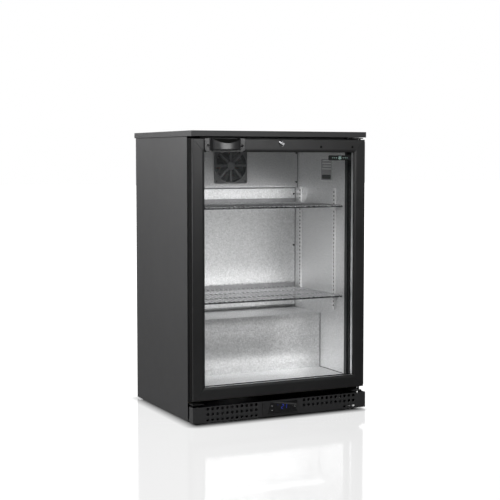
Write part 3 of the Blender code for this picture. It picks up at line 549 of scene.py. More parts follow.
def make_handle():
    """A moulded cup pull with a bowed front and a dipped rim, between two screw lugs; the inside
    of its pocket is painted shade.
    """
    low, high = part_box("handle")
    plate_front = 0.005
    make_handle_plate(low, high, plate_front)
    left, right = low.x + 0.0204, high.x - 0.0205
    middle, half = (left + right) / 2, (right - left) / 2
    reach, fillet, foot = 0.0212, 0.004, 0.0035
    bulge = DOOR_FACE - low.y - reach
    floor_z, rim_z, dip = low.z + 0.004, high.z, 0.0125
    bow = (half ** 2 + bulge ** 2) / (2 * bulge)
    side = [(-half, plate_front - 0.002), (-half, plate_front + 0.004), (-half, reach - fillet)]
    side += [(-half + fillet * (1 - math.cos(a)), reach - fillet * (1 - math.sin(a)))
             for a in (math.radians(22.5 * i) for i in range(1, 4))]
    front = [t * (half - fillet) for t in (-1 + 2 * i / 24 for i in range(25))]
    across = side + [(t, reach + bulge - bow + math.sqrt(bow ** 2 - t ** 2)) for t in front]
    across += [(-t, d) for t, d in reversed(side)]
    levels = [(foot * (1 - math.sin(a)), foot * (1 - math.cos(a)), 0.0)
              for a in (math.radians(30 * i) for i in range(3))]
    levels += [(0.0, foot, i / 11) for i in range(12)]
    rows = []
    for inset, rise, share in levels:
        row = []
        for t, d in across:
            front_share = max(0.0, min(1.0, (d - reach + fillet) / fillet))
            top = rim_z - front_share * (0.0025 + dip * math.cos(0.5 * math.pi * t / half))
            z = floor_z + rise + (top - floor_z - foot) * share
            lean = 0.0030 * front_share * (z - floor_z) / (rim_z - floor_z)
            depth = min(d, max(plate_front - 0.002, d - inset)) - lean
            row.append((middle + t * (1 - inset / half), back(-depth), z))
        rows.append(row)
    cup = grid_surface(rows)
    cup.verts.ensure_lookup_table()
    cup.faces.new([cup.verts[i] for i in range(len(across))])
    bmesh.ops.recalc_face_normals(cup, faces=cup.faces)
    # The cup's inner faces and a box at the back of its pocket are near black: painted shade
    # inside the pocket.
    cup = thickened(cup, 0.0028, inside="painted_shade")
    cup = piece("handle_cup", cup, "handle", "door", rounding=0.0007, angle=50)
    cup.data.materials.append(MATERIALS["painted_shade"])
    painted_shade = box((left + 0.003, back(-plate_front - 0.0004), floor_z + 0.004),
               (right - 0.003, back(-plate_front), rim_z - 0.0006))
    piece("handle_well", painted_shade, "painted_shade", "door", rounding=0.0001)


def make_lock():
    """The turning plug with its key slot and its cam, and the barrel round it."""
    low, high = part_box("lock_cam")
    barrel_low, barrel_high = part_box("lock_barrel")
    z = (barrel_low.z + barrel_high.z) / 2
    front, rear = barrel_low.y, high.y
    length, outer = rear - front - 0.003, (barrel_high.z - barrel_low.z) / 2
    plug = turned([(0, 0), (0.0044, 0), (0.0050, 0.0006), (0.0050, length), (0, length)],
                  (0, front + 0.0004, z), "Y", 32)
    key_slot = box((-0.00065, front - 0.001, z - 0.0034), (0.00065, front + 0.006, z + 0.0034))
    plug = carved(plug, key_slot)
    cam = arc(0, z, 0.0045, 90, 270, 10) + arc(high.x - 0.003, z, 0.003, -90, 90, 6)
    merge(plug, outline([cam], 0.0024, "XZ", rear - 0.0015))
    piece("lock_plug_and_cam", plug, "chrome", "lock", ["lock_cam"], 0.0003)
    rim = turned([(0.0054, 0.014), (0.0054, 0.0012), (0.0058, 0.0006), (0.0066, 0.0010),
                  (0.0076, 0.0002), (0.0086, 0.0000), (0.0094, 0.0006), (outer, 0.0018),
                  (outer, 0.0022), (0.0080, 0.0022), (0.0080, 0.014), (0.0054, 0.014)],
                 (0, front, z), "Y", 48)
    piece("lock_barrel_turned", rim, "chrome", "door", ["lock_barrel"], angle=40)


def make_door_edge():
    """A near-black strip round the door's outer edge, behind its rounded face: painted shade on
    the door's sides.
    """
    low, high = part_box("door_stile_left")
    stand, front, rear = 0.0002, 0.0042, 0.0262
    profile = [(0, front), (0.0006, front), (0.0006, rear), (0, rear)]
    ring = swept_frame(profile, stand - low.x, low.z - stand, high.z + stand)
    cam_slot = box((-0.0080, back(0.0150), high.z - 0.003), (0.0260, back(0.0230), high.z + 0.003))
    piece("door_edge_strip", carved(ring, cam_slot), "painted_shade", "door")


def make_door_trim():
    """Plugs in the unused handle holes."""
    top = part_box("door_rail_top")[1].z
    plugs = [turned([(0, -0.0018), (0.0018, -0.0017), (0.0030, -0.0010), (0.0036, -0.0002),
                     (0.0036, 0.0012), (0, 0.0012)], (x, back(-0.0002), top - 0.023), "Y", 24)
             for x in (0.1375, 0.2500)]
    # Black plugs in the painted shade material: their own black, painted darker still as the shade
    # of a recess.
    piece("handle_hole_plugs", merge(*plugs), "painted_shade", "door")


def make_badge():
    """A plain badge with a snowflake between two rows of dots."""
    glass_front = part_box("glass_outer")[0].y
    x0, x1, z0, z1 = 0.167, 0.249, 0.791, 0.807
    plate = outline([rounded_rectangle(x0, x1, z0, z1, 0.0032)], 0.0012, "XZ",
                    glass_front - 0.0008)
    piece("badge_plate", plate, "badge", "door", rounding=0.0003)
    centre = Vector((x0 + 0.041, glass_front - 0.0015, (z0 + z1) / 2))
    flake = bmesh.new()
    for i in range(6):
        arm = box((-0.00045, -0.00015, 0), (0.00045, 0.00015, 0.0062))
        for side in (-1, 1):
            for reach in (0.0026, 0.0042):
                twig = box((-0.0003, -0.00015, 0), (0.0003, 0.00015, 0.0017))
                twig.transform(Matrix.Translation((0, 0, reach))
                               @ Matrix.Rotation(math.radians(55 * side), 4, "Y"))
                merge(arm, twig)
        arm.transform(Matrix.Translation(centre)
                      @ Matrix.Rotation(math.radians(60 * i), 4, "Y"))
        merge(flake, arm)
    for side in (-1, 1):
        for step in range(3):
            place = centre + Vector((side * (0.012 + 0.007 * step), 0, 0))
            cylinder(place, 0.0012, 0.0003, "Y", 14, flake)
    piece("badge_snowflake", flake, "mark", "door")


# ---- inside the cabinet
def make_evaporator_cover():
    """The folded front of the evaporator box, with a rolled lower edge."""
    low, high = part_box("evaporator_cover")
    sheet, radius = 0.001, 0.006
    bend = (low.y + radius, low.z + radius)
    section = [(low.y, high.z)] + arc(*bend, radius, 180, 270, 6)
    section += [(high.y, low.z), (high.y, low.z + sheet)]
    section += arc(*bend, radius - sheet, 270, 180, 6) + [(low.y + sheet, high.z)]
    cover = outline([section], high.x - low.x, "YZ", 0)
    cover = carved(cover, cylinder((0, low.y, FAN_Z), 0.057, 0.010, "Y", 64))
    # The cover takes the darker copy of the liner's finish: painted shade.
    piece("evaporator_cover_folded", cover, "cover",
          replaces=["evaporator_cover"], rounding=0.0003, angle=50)
    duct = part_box("duct_panel")[0].y
    places = [(x, y - 0.0002, z)
              for y, half, heights in ((low.y, 0.248, (0.717, 0.815)),
                                       (duct, 0.250, (0.676, 0.500, 0.320)))
              for x in (-half, half) for z in heights]
    screws("cover_screws", places, (0, -1, 0), 0.0034, "screw")


def make_fan_guard():
    """A square guard with a raised round rim, seven rings round its hub disc and spokes."""
    low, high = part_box("evaporator_fan_guard")
    rear, half = high.y, high.x
    square = [(x, FAN_Z + z) for x, z in rounded_rectangle(-half, half, -half, half, 0.006)]
    plate_thick, bar = 0.0035, 0.0011
    plate = outline([square, circle(0, FAN_Z, 0.0555, 72)], plate_thick, "XZ",
                    rear - plate_thick / 2)
    piece("fan_guard_plate", plate, "guard", replaces=["evaporator_fan_guard"],
          rounding=0.0007)
    bars = turned([(0.0548, 0), (0.0588, 0), (0.0588, 0.0042), (0.0580, 0.0055),
                   (0.0566, 0.0060), (0.0552, 0.0055), (0.0548, 0.0042), (0.0548, 0)],
                  (0, rear, FAN_Z), "-Y", 80)
    for radius in (0.0205 + 0.0049 * ring for ring in range(7)):
        merge(bars, turned([(radius - bar, 0), (radius + bar, 0), (radius + bar, 0.0030),
                            (radius, 0.0040), (radius - bar, 0.0030), (radius - bar, 0)],
                           (0, rear - 0.0012, FAN_Z), "-Y", 72))
    for i in range(8):
        spoke = box((0.012, -0.0016, -0.0034), (0.0560, 0.0016, 0.0034))
        spoke.transform(Matrix.Translation((0, rear - 0.0032, FAN_Z))
                        @ Matrix.Rotation(math.radians(45 * i), 4, "Y"))
        merge(bars, spoke)
    merge(bars, turned([(0, 0.0066), (0.0130, 0.0064), (0.0145, 0.0052), (0.0148, 0.0010),
                        (0, 0.0010)], (0, rear, FAN_Z), "-Y", 48))
    piece("fan_guard_bars", bars, "guard", rounding=0.0003)
    reach = half - 0.0075
    places = [(sx * reach, rear - plate_thick, FAN_Z + sz * reach)
              for sx in (-1, 1) for sz in (-1, 1)]
    screws("fan_guard_screws", places, (0, -1, 0), 0.0030, "screw")


def fan_wheel(name, cad_node, body, hub, blades, material):
    """A hub with twisted, swept blades inside the space of its CAD node."""
    low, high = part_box(cad_node)
    radius = (high.x - low.x) / 2 * 0.99
    half = (high.y - low.y) / 2
    root = hub * 0.9
    wheel = turned([(0, -half * 0.92), (hub * 0.75, -half * 0.92), (hub * 0.96, -half * 0.75),
                    (hub, -half * 0.45), (hub, half * 0.9), (0, half * 0.9)], (0, 0, 0), "Y", 40)
    step, filled, pitch, sweep = 2 * math.pi / blades, 0.62, 0.55, 0.22
    for i in range(blades):
        rows = []
        for t in (j / 8 for j in range(9)):
            r = root + (radius - root) * t
            width = step * filled * (0.75 + 0.35 * t - 0.25 * t * t)
            row = []
            for s in (k / 6 - 0.5 for k in range(7)):
                angle = step * i + width * s + sweep * t * t
                y = half * pitch * (1.5 * s * (1.1 - 0.35 * t) + 0.28 * (0.25 - s * s))
                row.append((r * math.cos(angle), y, r * math.sin(angle)))
            rows.append(row)
        merge(wheel, thickened(grid_surface(rows), 0.0014, 0))
    wheel.transform(Matrix.Translation((low + high) / 2))
    piece(name, wheel, material, body, [cad_node], angle=35)


def finned_coil(name, cad_node, fins, rows, tubes):
    """Thin fins on a serpentine of copper tube with return bends."""
    low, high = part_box(cad_node)
    overhang, fin, plate = 0.010, 0.00012, 0.0005
    x0, x1 = low.x + overhang, high.x - overhang
    pitch = (x1 - x0) / (fins - 1)
    sheets = [(x0 + pitch * i, fin) for i in range(fins)]
    sheets += [(x0 - 0.0006, plate), (x1 + 0.0006, plate)]
    block = bmesh.new()
    for x, half in sheets:
        box((x - half, low.y, low.z), (x + half, high.y, high.z), block)
    piece(name, block, "fin", replaces=[cad_node])
    pipe = bmesh.new()
    depth, rise = (high.y - low.y) / rows, (high.z - low.z) / tubes
    reach = overhang * 0.55
    for row in range(rows):
        y = low.y + depth * (row + 0.5)
        corners = []
        for i in range(tubes):
            z = low.z + rise * (i + 0.5)
            ends = [(x0 - reach, y, z), (x1 + reach, y, z)]
            corners += ends if i % 2 == 0 else ends[::-1]
        tube(rounded_path(corners, min(rise, reach) * 0.45, 4), 0.0038, 8, pipe)
    piece(name + "_tubes", pipe, "copper")


def make_light():
    """The light strip: a shallow tray with end caps round a bowed diffuser."""
    low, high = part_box("interior_light")
    middle = (low.y + high.y) / 2
    half, drop = (high.y - low.y) / 2 - 0.0012, 0.0058
    lens = [(middle + half * y, low.z + 0.0060 + drop * z)
            for y, z in arc(0, 0, 1, 180, 360, 12)]
    lens += [(middle + half, high.z - 0.003), (middle - half, high.z - 0.003)]
    strip = outline([lens], high.x - low.x - 0.012, "YZ", 0)
    piece("light_diffuser", strip, "diffuser", replaces=["interior_light"])
    tray = outline([rectangle(low.y, high.y, high.z - 0.0028, high.z)],
                   high.x - low.x - 0.002, "YZ", 0)
    for side in (-1, 1):
        cap = outline([rounded_rectangle(low.y, high.y, low.z, high.z, 0.003)], 0.006, "YZ",
                      side * (high.x - 0.003))
        merge(tray, cap)
    piece("light_tray", tray, "white", rounding=0.0006)


def make_shelf(name):
    """A wire shelf: fine wires bent down over a heavy front wire and up at the back."""
    low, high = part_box(name)
    top, half = high.z - 0.015, high.x - 0.0045
    fine, cross, heavy, bite = 0.0015, 0.0018, 0.0028, 0.0003
    front, rear = low.y + fine, high.y - fine - 0.0004
    bar_y, bar_z = front + fine + heavy - bite, top - 2 * fine - heavy + bite
    count = 31
    pitch = 2 * (half - fine) / (count - 1)
    wires = bmesh.new()
    for x in (-half + fine + pitch * i for i in range(count)):
        path = [(x, front, bar_z), (x, front, top - fine), (x, rear, top - fine),
                (x, rear, high.z)]
        tube(rounded_path(path, 0.0022, 4), fine, 8, wires)
    piece(name + "_wires", wires, "wire", name, [name], angle=60)
    bar = tube([(-high.x, bar_y, bar_z), (high.x, bar_y, bar_z)], heavy, 14)
    # The heavy front wire takes a darker copy of the wire's plating: painted shade.
    piece(name + "_front_wire", bar, "dark_wire", name, angle=60)
    lip = box((-half, rear - fine - 0.0011, top - 0.002),
              (half, rear - fine + 0.0001, top + 0.0118))
    piece(name + "_lip", lip, "lip", name, rounding=0.0003)
    cross_z = top - 2 * fine - cross + bite
    reach = half - 0.005
    bars = bmesh.new()
    for y in (front + 0.105, front + 0.215, rear - fine - cross):
        tube([(-reach, y, cross_z), (reach, y, cross_z)], cross, 10, bars)
    for x in (cross - half, half - cross):
        tube([(x, bar_y, top - cross), (x, rear, top - cross)], cross, 10, bars)
    piece(name + "_frame", bars, "wire", name, angle=60)


def flank(name):
    """Which side a node is on, its nearest and furthest x from the middle, and its box."""
    low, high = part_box(name)
    near, far = sorted((abs(low.x), abs(high.x)))
    return math.copysign(1, low.x), near, far, low, high


def make_clip(name):
    """A pressed clip: a bowed wing, a ledge under the shelf and a hook in the rail."""
    side, near, far, low, high = flank(name)
    middle, reach = (low.y + high.y) / 2, (high.y - low.y) / 2
    inner = near + 0.0006
    steps = 14
    wing = []
    for t in (-1 + 2 * i / steps for i in range(steps + 1)):
        drop = 0.0020 + (high.z - low.z - 0.0030) * math.cos(0.5 * math.pi * t) ** 1.6
        wing.append((middle + reach * t, high.z - drop))
    wing += [(middle + reach, high.z), (middle - reach, high.z)]
    plate = outline([wing], 0.0010, "YZ", inner)
    box((inner, middle - reach * 0.92, high.z - 0.0010),
        (inner + 0.0050, middle + reach * 0.92, high.z), plate)
    tab_z = low.z + 0.0045
    box((inner, middle - 0.0022, tab_z), (far, middle + 0.0022, tab_z + 0.0040), plate)
    piece(name + "_pressed", mirrored(plate, side), "rail", replaces=[name],
          rounding=0.0003)


def make_rail(name):
    """A slotted channel: a pierced face and two flanges, with a near-black box behind the slots as
    painted shade in the hollow.
    """
    pitch, sheet, clip_slot_z = 0.0127, 0.0010, 0.638
    side, near, far, low, high = flank(name)
    face, middle = near + sheet / 2, (low.y + high.y) / 2
    count = int((high.z - low.z - 0.014) / pitch) + 1
    start = clip_slot_z - pitch * int((clip_slot_z - low.z - 0.006) / pitch)
    loops = [rectangle(low.y, high.y, low.z, high.z)]
    loops += [rounded_rectangle(middle - 0.0042, middle + 0.0042, z - 0.0031, z + 0.0031,
                                0.0008, 2)
              for z in (start + pitch * i for i in range(count)) if z < high.z - 0.005]
    rail = outline(loops, sheet, "YZ", face)
    for y0 in (low.y, high.y - sheet):
        box((face, y0, low.z), (far, y0 + sheet, high.z), rail)
    piece(name + "_pressed", mirrored(rail, side), "rail", replaces=[name])
    # A near-black box behind the slots: painted shade inside the channel.
    hollow = box((face + 0.0014, low.y + 0.0011, low.z + 0.0005),
                 (face + 0.0024, high.y - 0.0011, high.z - 0.0005))
    piece(name + "_hollow", mirrored(hollow, side), "painted_shade")


def make_shadow_lines():
    """Thin dark strips where the inner panels meet the walls, and below the cover: painted shadow
    in the gaps there.
    """
    width = 0.0013
    cover_low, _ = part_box("evaporator_cover")
    duct_low, duct_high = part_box("duct_panel")
    step, rear = back(STEP_FRONT), duct_low.y
    lines = ((step - width, step, FLOOR_Z + 0.0005, STEP_TOP, 0.0),
             (back(0.058), step, FLOOR_Z + 0.0003, FLOOR_Z + 0.0003 + width, 0.0),
             (rear - width, rear, STEP_TOP + 0.0015, duct_high.z, 0.0),
             (cover_low.y - width / 2, cover_low.y + width / 2, cover_low.z, 0.8335, 0.0025))
    shadow_lines = bmesh.new()
    for side in (-1, 1):
        for y0, y1, z0, z1, inset in lines:
            wall = INNER_HALF - 0.0001 - inset
            box((side * (wall - width), y0, z0), (side * wall, y1, z1), shadow_lines)
    box((-0.254, rear - 0.0012, cover_low.z - 0.0028),
        (0.254, rear - 0.0002, cover_low.z + 0.003), shadow_lines)
    piece("liner_shadow_lines", shadow_lines, "shadow_line")


def make_label():
    """A blank grey label on the right wall: a pale border, a dark block and plain lines."""
    y0, y1, z0, z1 = back(0.136), back(0.214), 0.722, 0.800

    def printed(loops):
        return outline(loops, 0.0002, "YZ", INNER_HALF - 0.0007)

    label = outline([rounded_rectangle(y0, y1, z0, z1, 0.002)], 0.0003, "YZ",
                    INNER_HALF - 0.0004)
    piece("wall_label", label, "faint")
    block = rounded_rectangle(y0 + 0.010, y1 - 0.010, z0 + 0.008, z0 + 0.022, 0.005)
    piece("wall_label_block", printed([block]), "print")
    lines = bmesh.new()
    for i in range(4):
        z = z1 - 0.010 - 0.009 * i
        end = y1 - 0.016 + 0.004 * (i % 2)
        merge(lines, printed([rectangle(y0 + 0.010, end, z - 0.0018, z + 0.0018)]))
    border = [rounded_rectangle(y0 + inset, y1 - inset, z0 + inset, z1 - inset, 0.002)
              for inset in (0.0, 0.004)]
    merge(lines, printed(border))
    piece("wall_label_lines", lines, "label")


# ---- plinth and controls
def make_plinth():
    """A folded channel pierced by the air holes and the controller's opening."""
    low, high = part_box("plinth_panel")
    half, front, rear = high.x, low.y, high.y
    sheet, flange = 0.0012, 0.012
    side = [(half, front), (half, rear), (half - flange, rear), (half - flange, rear - sheet),
            (half - sheet, rear - sheet), (half - sheet, front + sheet)]
    plan = side + [(-x, y) for x, y in reversed(side)]
    channel = outline([plan], high.z - low.z, "XY", (low.z + high.z) / 2)
    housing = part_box("controller_housing")
    edge = 0.002
    holes = box((housing[0].x + edge, front - 0.005, housing[0].z + edge),
                (housing[1].x - edge, front + 0.005, housing[1].z - edge))
    rows, pitch, radius = (0.0452, 0.0290, 0.0128), 0.0162, 0.00475
    left, right, full_height_from = -0.251, 0.0776, 9
    places = [(left + pitch * column, z) for column in range(11) for z in rows]
    places += [(right + pitch * column, z) for column in range(12)
               for z in (rows if column >= full_height_from else rows[:2])]
    for x, z in places:
        cylinder((x, front, z), radius, 0.010, "Y", 28, holes)
    piece("plinth_perforated", carved(channel, holes), "powder",
          replaces=["plinth_panel"], rounding=0.00025, angle=45)


SEGMENTS = {                     # ends of a digit's bars, in halves of its width and height
    "a": ((-1, 2), (1, 2)), "b": ((1, 2), (1, 0)), "c": ((1, 0), (1, -2)),
    "d": ((-1, -2), (1, -2)), "e": ((-1, 0), (-1, -2)), "f": ((-1, 2), (-1, 0)),
    "g": ((-1, 0), (1, 0)),
}


def digit_bars(x, z, lit, y, shape):
    """The lit bars of a slanted seven-segment digit."""
    width, height, thick, gap, slant = 0.0064, 0.0130, 0.0009, 0.0007, 0.14
    for name in lit:
        start, end = (Vector((u * width / 2, v * height / 4)) for u, v in SEGMENTS[name])
        along = (end - start).normalized()
        across = Vector((-along.y, along.x)) * thick
        start, end = start + along * gap, end - along * gap
        tips = [start, start + along * thick + across, end - along * thick + across, end,
                end - along * thick - across, start + along * thick - across]
        bar = [(x + p.x + slant * p.y, z + p.y) for p in tips]
        merge(shape, outline([bar], 0.0003, "XZ", y))


def make_controls():
    """The controller's lens, its digits and the marks on its keys."""
    low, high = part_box("controller_housing")
    face = low.y
    keys = {name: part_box(name) for name in ("key_up", "key_down", "key_set")}
    edge, gap = 0.0025, 0.0005
    top, bottom, right = high.z - edge, low.z + edge, high.x - 0.003
    loops = [[(low.x + 0.0275, top), (low.x + 0.0165, bottom), (right, bottom), (right, top)]]
    loops += [rectangle(key_low.x - gap, key_high.x + gap, key_low.z - gap, key_high.z + gap)
              for key_low, key_high in keys.values()]
    piece("display_lens", outline(loops, 0.0004, "XZ", face - 0.0002), "lens",
          rounding=0.00012)
    digits = bmesh.new()
    for x, lit in ((0.0005, "abged"), (0.0115, "bc")):
        digit_bars(x, 0.03225, lit, face - 0.0005, digits)
    cylinder((-0.0157, face - 0.0005, 0.038), 0.0008, 0.0003, "Y", 16, digits)
    piece("display_digits", digits, "digit")
    for name, (key_low, key_high) in keys.items():
        if name == "key_set":
            mark = turned([(0.0009, 0), (0.0014, 0), (0.0014, 0.0002), (0.0009, 0.0002),
                           (0.0009, 0)], (0, 0, 0), "Y", 24)
        else:
            up = 1 if name == "key_up" else -1
            arrow = [(0.0013, -0.0008), (0, 0.0012), (-0.0013, -0.0008)]
            mark = outline([[(up * x, up * z) for x, z in arrow]], 0.0002, "XZ", 0)
        centre = (key_low + key_high) / 2
        mark.transform(Matrix.Translation((centre.x, key_low.y - 0.0001, centre.z)))
        piece(name + "_mark", mark, "label", name)


# ---- machinery and base
def oval_ring(x, y, z, half_x, half_y, sides=48):
    """Points round an upright oval pot, whose first one comes again at the end."""
    return [(x + half_x * u, y + half_y * v, z) for u, v in arc(0, 0, 1, 0, 360, sides)]


def make_compressor():
    """A welded steel pot on a pressed base with rubber feet, and its terminal box."""
    x, y = -0.150, back(0.362)
    middle, half_x, half_y, rise = 0.114, 0.0915, 0.0735, 0.0875
    rows = []
    for a in (math.pi * (i / 24 - 0.5) for i in range(25)):
        r = abs(math.cos(a)) ** 0.72
        h = math.copysign(abs(math.sin(a)) ** 0.86, a)
        rows.append(oval_ring(x, y, middle + rise * h, half_x * r, half_y * r))
    pot = grid_surface(rows)
    weld = grid_surface([oval_ring(x, y, middle + 0.010 + z, 0.0908 + grow, 0.0728 + grow)
                         for z, grow in ((-0.004, 0.0), (-0.003, 0.0010), (0.003, 0.0010),
                                         (0.004, 0.0))])
    for shape in (pot, weld):
        bmesh.ops.remove_doubles(shape, verts=shape.verts, dist=0.0001)
    merge(pot, thickened(weld, 0.001))
    piece("compressor_pot", pot, "compressor", replaces=["compressor"])
    plate = rounded_rectangle(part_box("compressor")[0].x + 0.001, x + 0.105, y - 0.060,
                              y + 0.060, 0.014)
    piece("compressor_base", outline([plate], 0.003, "XY", 0.0245), "powder",
          rounding=0.0008)
    centres = [(x + sx * 0.090, y + sy * 0.048) for sx in (-1, 1) for sy in (-1, 1)]
    grommet = [(0.004, 0.0088), (0.0105, 0.0088), (0.0105, 0.0125), (0.0082, 0.0140),
               (0.0082, 0.0180), (0.0100, 0.0195), (0.0100, 0.0228), (0.004, 0.0228),
               (0.004, 0.0088)]
    feet = merge(bmesh.new(), *(turned(grommet, (*centre, 0), sides=24) for centre in centres))
    piece("compressor_grommets", feet, "rubber")
    screws("compressor_bolts", [(*centre, 0.0262) for centre in centres], (0, 0, 1), 0.0062,
           "plated")
    terminal = outline([rounded_rectangle(-0.027, 0.027, 0.083, 0.137, 0.006)], 0.024, "YZ", 0)
    terminal.transform(Matrix.Translation((x + 0.0955, y, 0)))
    piece("compressor_terminal_box", terminal, "plastic", rounding=0.0025)


def make_pipes():
    """Refrigerant lines between the compressor, the condenser and the roof of the bay."""
    y = back(0.362)              # the compressor's middle
    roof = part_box("base_pan")[1].z - 0.0018
    coil_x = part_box("condenser_coil")[0].x + 0.012
    drier_x = 0.002
    runs = (                     # radius, radius of the bends, corners
        (0.0030, 0.010, [(-0.178, y - 0.050, 0.165), (-0.178, y - 0.062, 0.205),
                         (-0.060, y - 0.062, 0.216), (0.006, back(0.285), 0.216),
                         (0.006, back(0.285), 0.190), (coil_x, back(0.285), 0.190)]),
        (0.0024, 0.012, [(coil_x, back(0.271), 0.030), (drier_x, back(0.271), 0.030),
                         (drier_x, back(0.290), 0.120), (drier_x, back(0.330), 0.120),
                         (drier_x, back(0.400), 0.170), (drier_x, back(0.420), roof)]),
        (0.0042, 0.008, [(-0.110, y + 0.040, 0.172), (-0.095, y + 0.058, 0.205),
                         (-0.040, y + 0.066, 0.215), (-0.018, y + 0.066, 0.222),
                         (-0.018, y + 0.066, roof)]),
        (0.0030, 0.008, [(-0.205, y + 0.030, 0.168), (-0.222, y + 0.045, 0.185),
                         (-0.222, y + 0.045, 0.226)]),
    )
    pipes = bmesh.new()
    for radius, bend, corners in runs:
        tube(rounded_path(corners, bend, 6), radius, 10, pipes)
    piece("refrigerant_pipes", pipes, "copper", angle=60)
    end = [(0, 0.052), (0.0034, 0.050), (0.0042, 0.044), (0.0095, 0.036), (0.0105, 0.030)]
    profile = [(radius, -height) for radius, height in end] + end[::-1]
    drier = turned(profile, (drier_x, back(0.2915), 0.085), sides=28)
    piece("filter_drier", drier, "copper")


def make_rear_fittings():
    """Screws of the back panel and grille, and the inlet's three pins."""
    low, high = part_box("back_panel")
    y = high.y + 0.0002
    inset_x, inset_z = 0.012, 0.014
    columns = [low.x + inset_x + (high.x - low.x - 2 * inset_x) * i / 4 for i in range(5)]
    rows = [low.z + inset_z + (high.z - low.z - 2 * inset_z) * i / 5 for i in range(6)]
    places = [(x, y, z) for x in columns for z in (rows[0], rows[-1])]
    places += [(x, y, z) for x in (columns[0], columns[-1]) for z in rows[1:-1]]
    screws("back_panel_screws", places, (0, 1, 0), 0.0038, "plated")
    low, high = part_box("rear_grille")
    places = [(x, y, z) for x in (-0.284, 0.0, 0.284) for z in (low.z + 0.012, high.z - 0.010)]
    screws("rear_grille_screws", places, (0, 1, 0), 0.0038, "screw")
    low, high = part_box("power_inlet")
    pins = bmesh.new()
    for dx, dz in ((-0.007, -0.002), (0.0, 0.0025), (0.007, -0.002)):
        x, z = (low.x + high.x) / 2 + dx, (low.z + high.z) / 2 + dz
        box((x - 0.001, back(0.4545), z - 0.002), (x + 0.001, back(0.4690), z + 0.002), pins)
    piece("power_inlet_pins", pins, "plated", rounding=0.0003)


def make_foot(name):
    """A levelling foot: a rubber shoe, a hexagon and a threaded stem."""
    low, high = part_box(name)
    x, y = (low.x + high.x) / 2, (low.y + high.y) / 2
    shoe = turned([(0, 0), (0.0136, 0), (0.0150, 0.0012), (0.0150, 0.0026), (0.0120, 0.0035),
                   (0, 0.0036)], (x, y, 0), sides=36)
    piece(name + "_shoe", shoe, "rubber", name, [name])
    threads, start, end = 22, 0.0070, high.z - 0.0008
    pitch = (end - start) / threads
    profile = [(0, 0.0030), (0.0040, 0.0030), (0.0040, start)]
    for i in range(threads):
        profile += [(0.0033, start + pitch * (i + 0.25)), (0.0040, start + pitch * (i + 0.75))]
    profile += [(0.0030, high.z), (0, high.z)]
    stem = turned(profile, (x, y, 0), sides=24)
    merge(stem, outline([circle(x, y, 0.0072, 6)], 0.0030, "XY", 0.0054))
    piece(name + "_stem", stem, "plated", name, angle=25)


def make_hinge_fittings():
    """Screws that hold the hinge brackets."""
    for name, node_name, up in (("hinge_screws_bottom", "hinge_bracket_bottom", -1),
                                ("hinge_screws_spare", "spare_hinge_bracket", -1),
                                ("hinge_screws_top", "hinge_bracket_top", 1)):
        low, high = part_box(node_name)
        x, z = (low.x + high.x) / 2, (high.z if up > 0 else low.z)
        places = [(x + dx, back(depth), z) for depth in (0.062, 0.094) for dx in (-0.010, 0.010)]
        screws(name, places, (0, 0, up), 0.0036, "screw")


# ---- studio
LIGHTS = {                       # place, aimed at, width, height, power
    "front": ((1.0, -3.0, 1.6), (0.0, 0.0, 0.5), 0.7, 1.5, 24.0),
    "front_centre": ((-0.3, -3.0, 1.0), (0.0, 0.0, 0.5), 1.2, 1.2, 3.0),
    "front_near": ((-0.9, -1.0, 1.7), (-0.1, -0.2, 0.75), 0.7, 0.7, 26.0),
    "left_wall": ((-2.6, 1.2, 1.3), (-0.3, 0.0, 0.5), 2.0, 2.0, 64.0),
    "left_mirror": ((-1.1, 1.9, 1.3), (-0.3, 0.0, 0.7), 0.8, 0.8, 2.5),
    "glow_floor": ((0.0, -0.10, 0.26), (0.0, -0.07, 0.10), 0.44, 0.06, 0.15),
    "glow_corner": ((0.0, -0.06, 0.135), (0.0, -0.02, 0.104), 0.46, 0.02, 0.06),
    "glow_side": ((0.10, -0.11, 0.19), (0.25, -0.07, 0.16), 0.10, 0.16, 0.075),
    "glow_wall": ((-0.05, -0.02, 0.45), (0.25, 0.08, 0.42), 0.12, 0.18, 0.10),
    "glow_step": ((0.0, 0.03, 0.335), (0.0, 0.14, 0.285), 0.44, 0.03, 0.09),
    "glow_middle": ((0.0, -0.155, 0.48), (0.0, 0.20, 0.48), 0.46, 0.20, 0.245),
    "glow_shelf": ((0.02, 0.07, 0.375), (0.02, 0.17, 0.42), 0.44, 0.03, 0.09),
    "glow_band": ((0.03, 0.080, 0.668), (0.03, 0.16, 0.70), 0.44, 0.02, 0.12),
}
SKY = {                          # towards, sharpness, strength: the room's soft brightness
    "sky_up": ((0, 0, 1), 1, 0.05),
    "sky_behind": ((0, 1, 0.1), 2, 0.40),
    "sky_horizon": ((0.44, 0.9, 0.12), 16, 0.9),
}
FLOOR_WHITE = 0.72               # what the camera sees of the lit floor
FLOOR_GLOW = 0.05                # what the object gets of it
SHADE_SHIFT = 0.012              # the dark patch under the cabinet, left of its middle,
SHADE_HALF = (0.276, 0.234, 0)   # its half size,
SHADE_EDGE = 0.045               # and the width of its soft edge


def aim(obj, target):
    direction = Vector(target) - obj.location
    obj.rotation_euler = direction.to_track_quat("-Z", "Y").to_euler()


def make_lights():
    for name, (place, target, width, height, power) in LIGHTS.items():
        light = bpy.data.lights.new(name, "AREA")
        light.shape = "RECTANGLE"
        light.size = width
        light.size_y = height
        light.energy = power
        obj = bpy.data.objects.new(name, light)
        obj.location = place
        obj.visible_camera = False
        bpy.context.scene.collection.objects.link(obj)
        aim(obj, target)


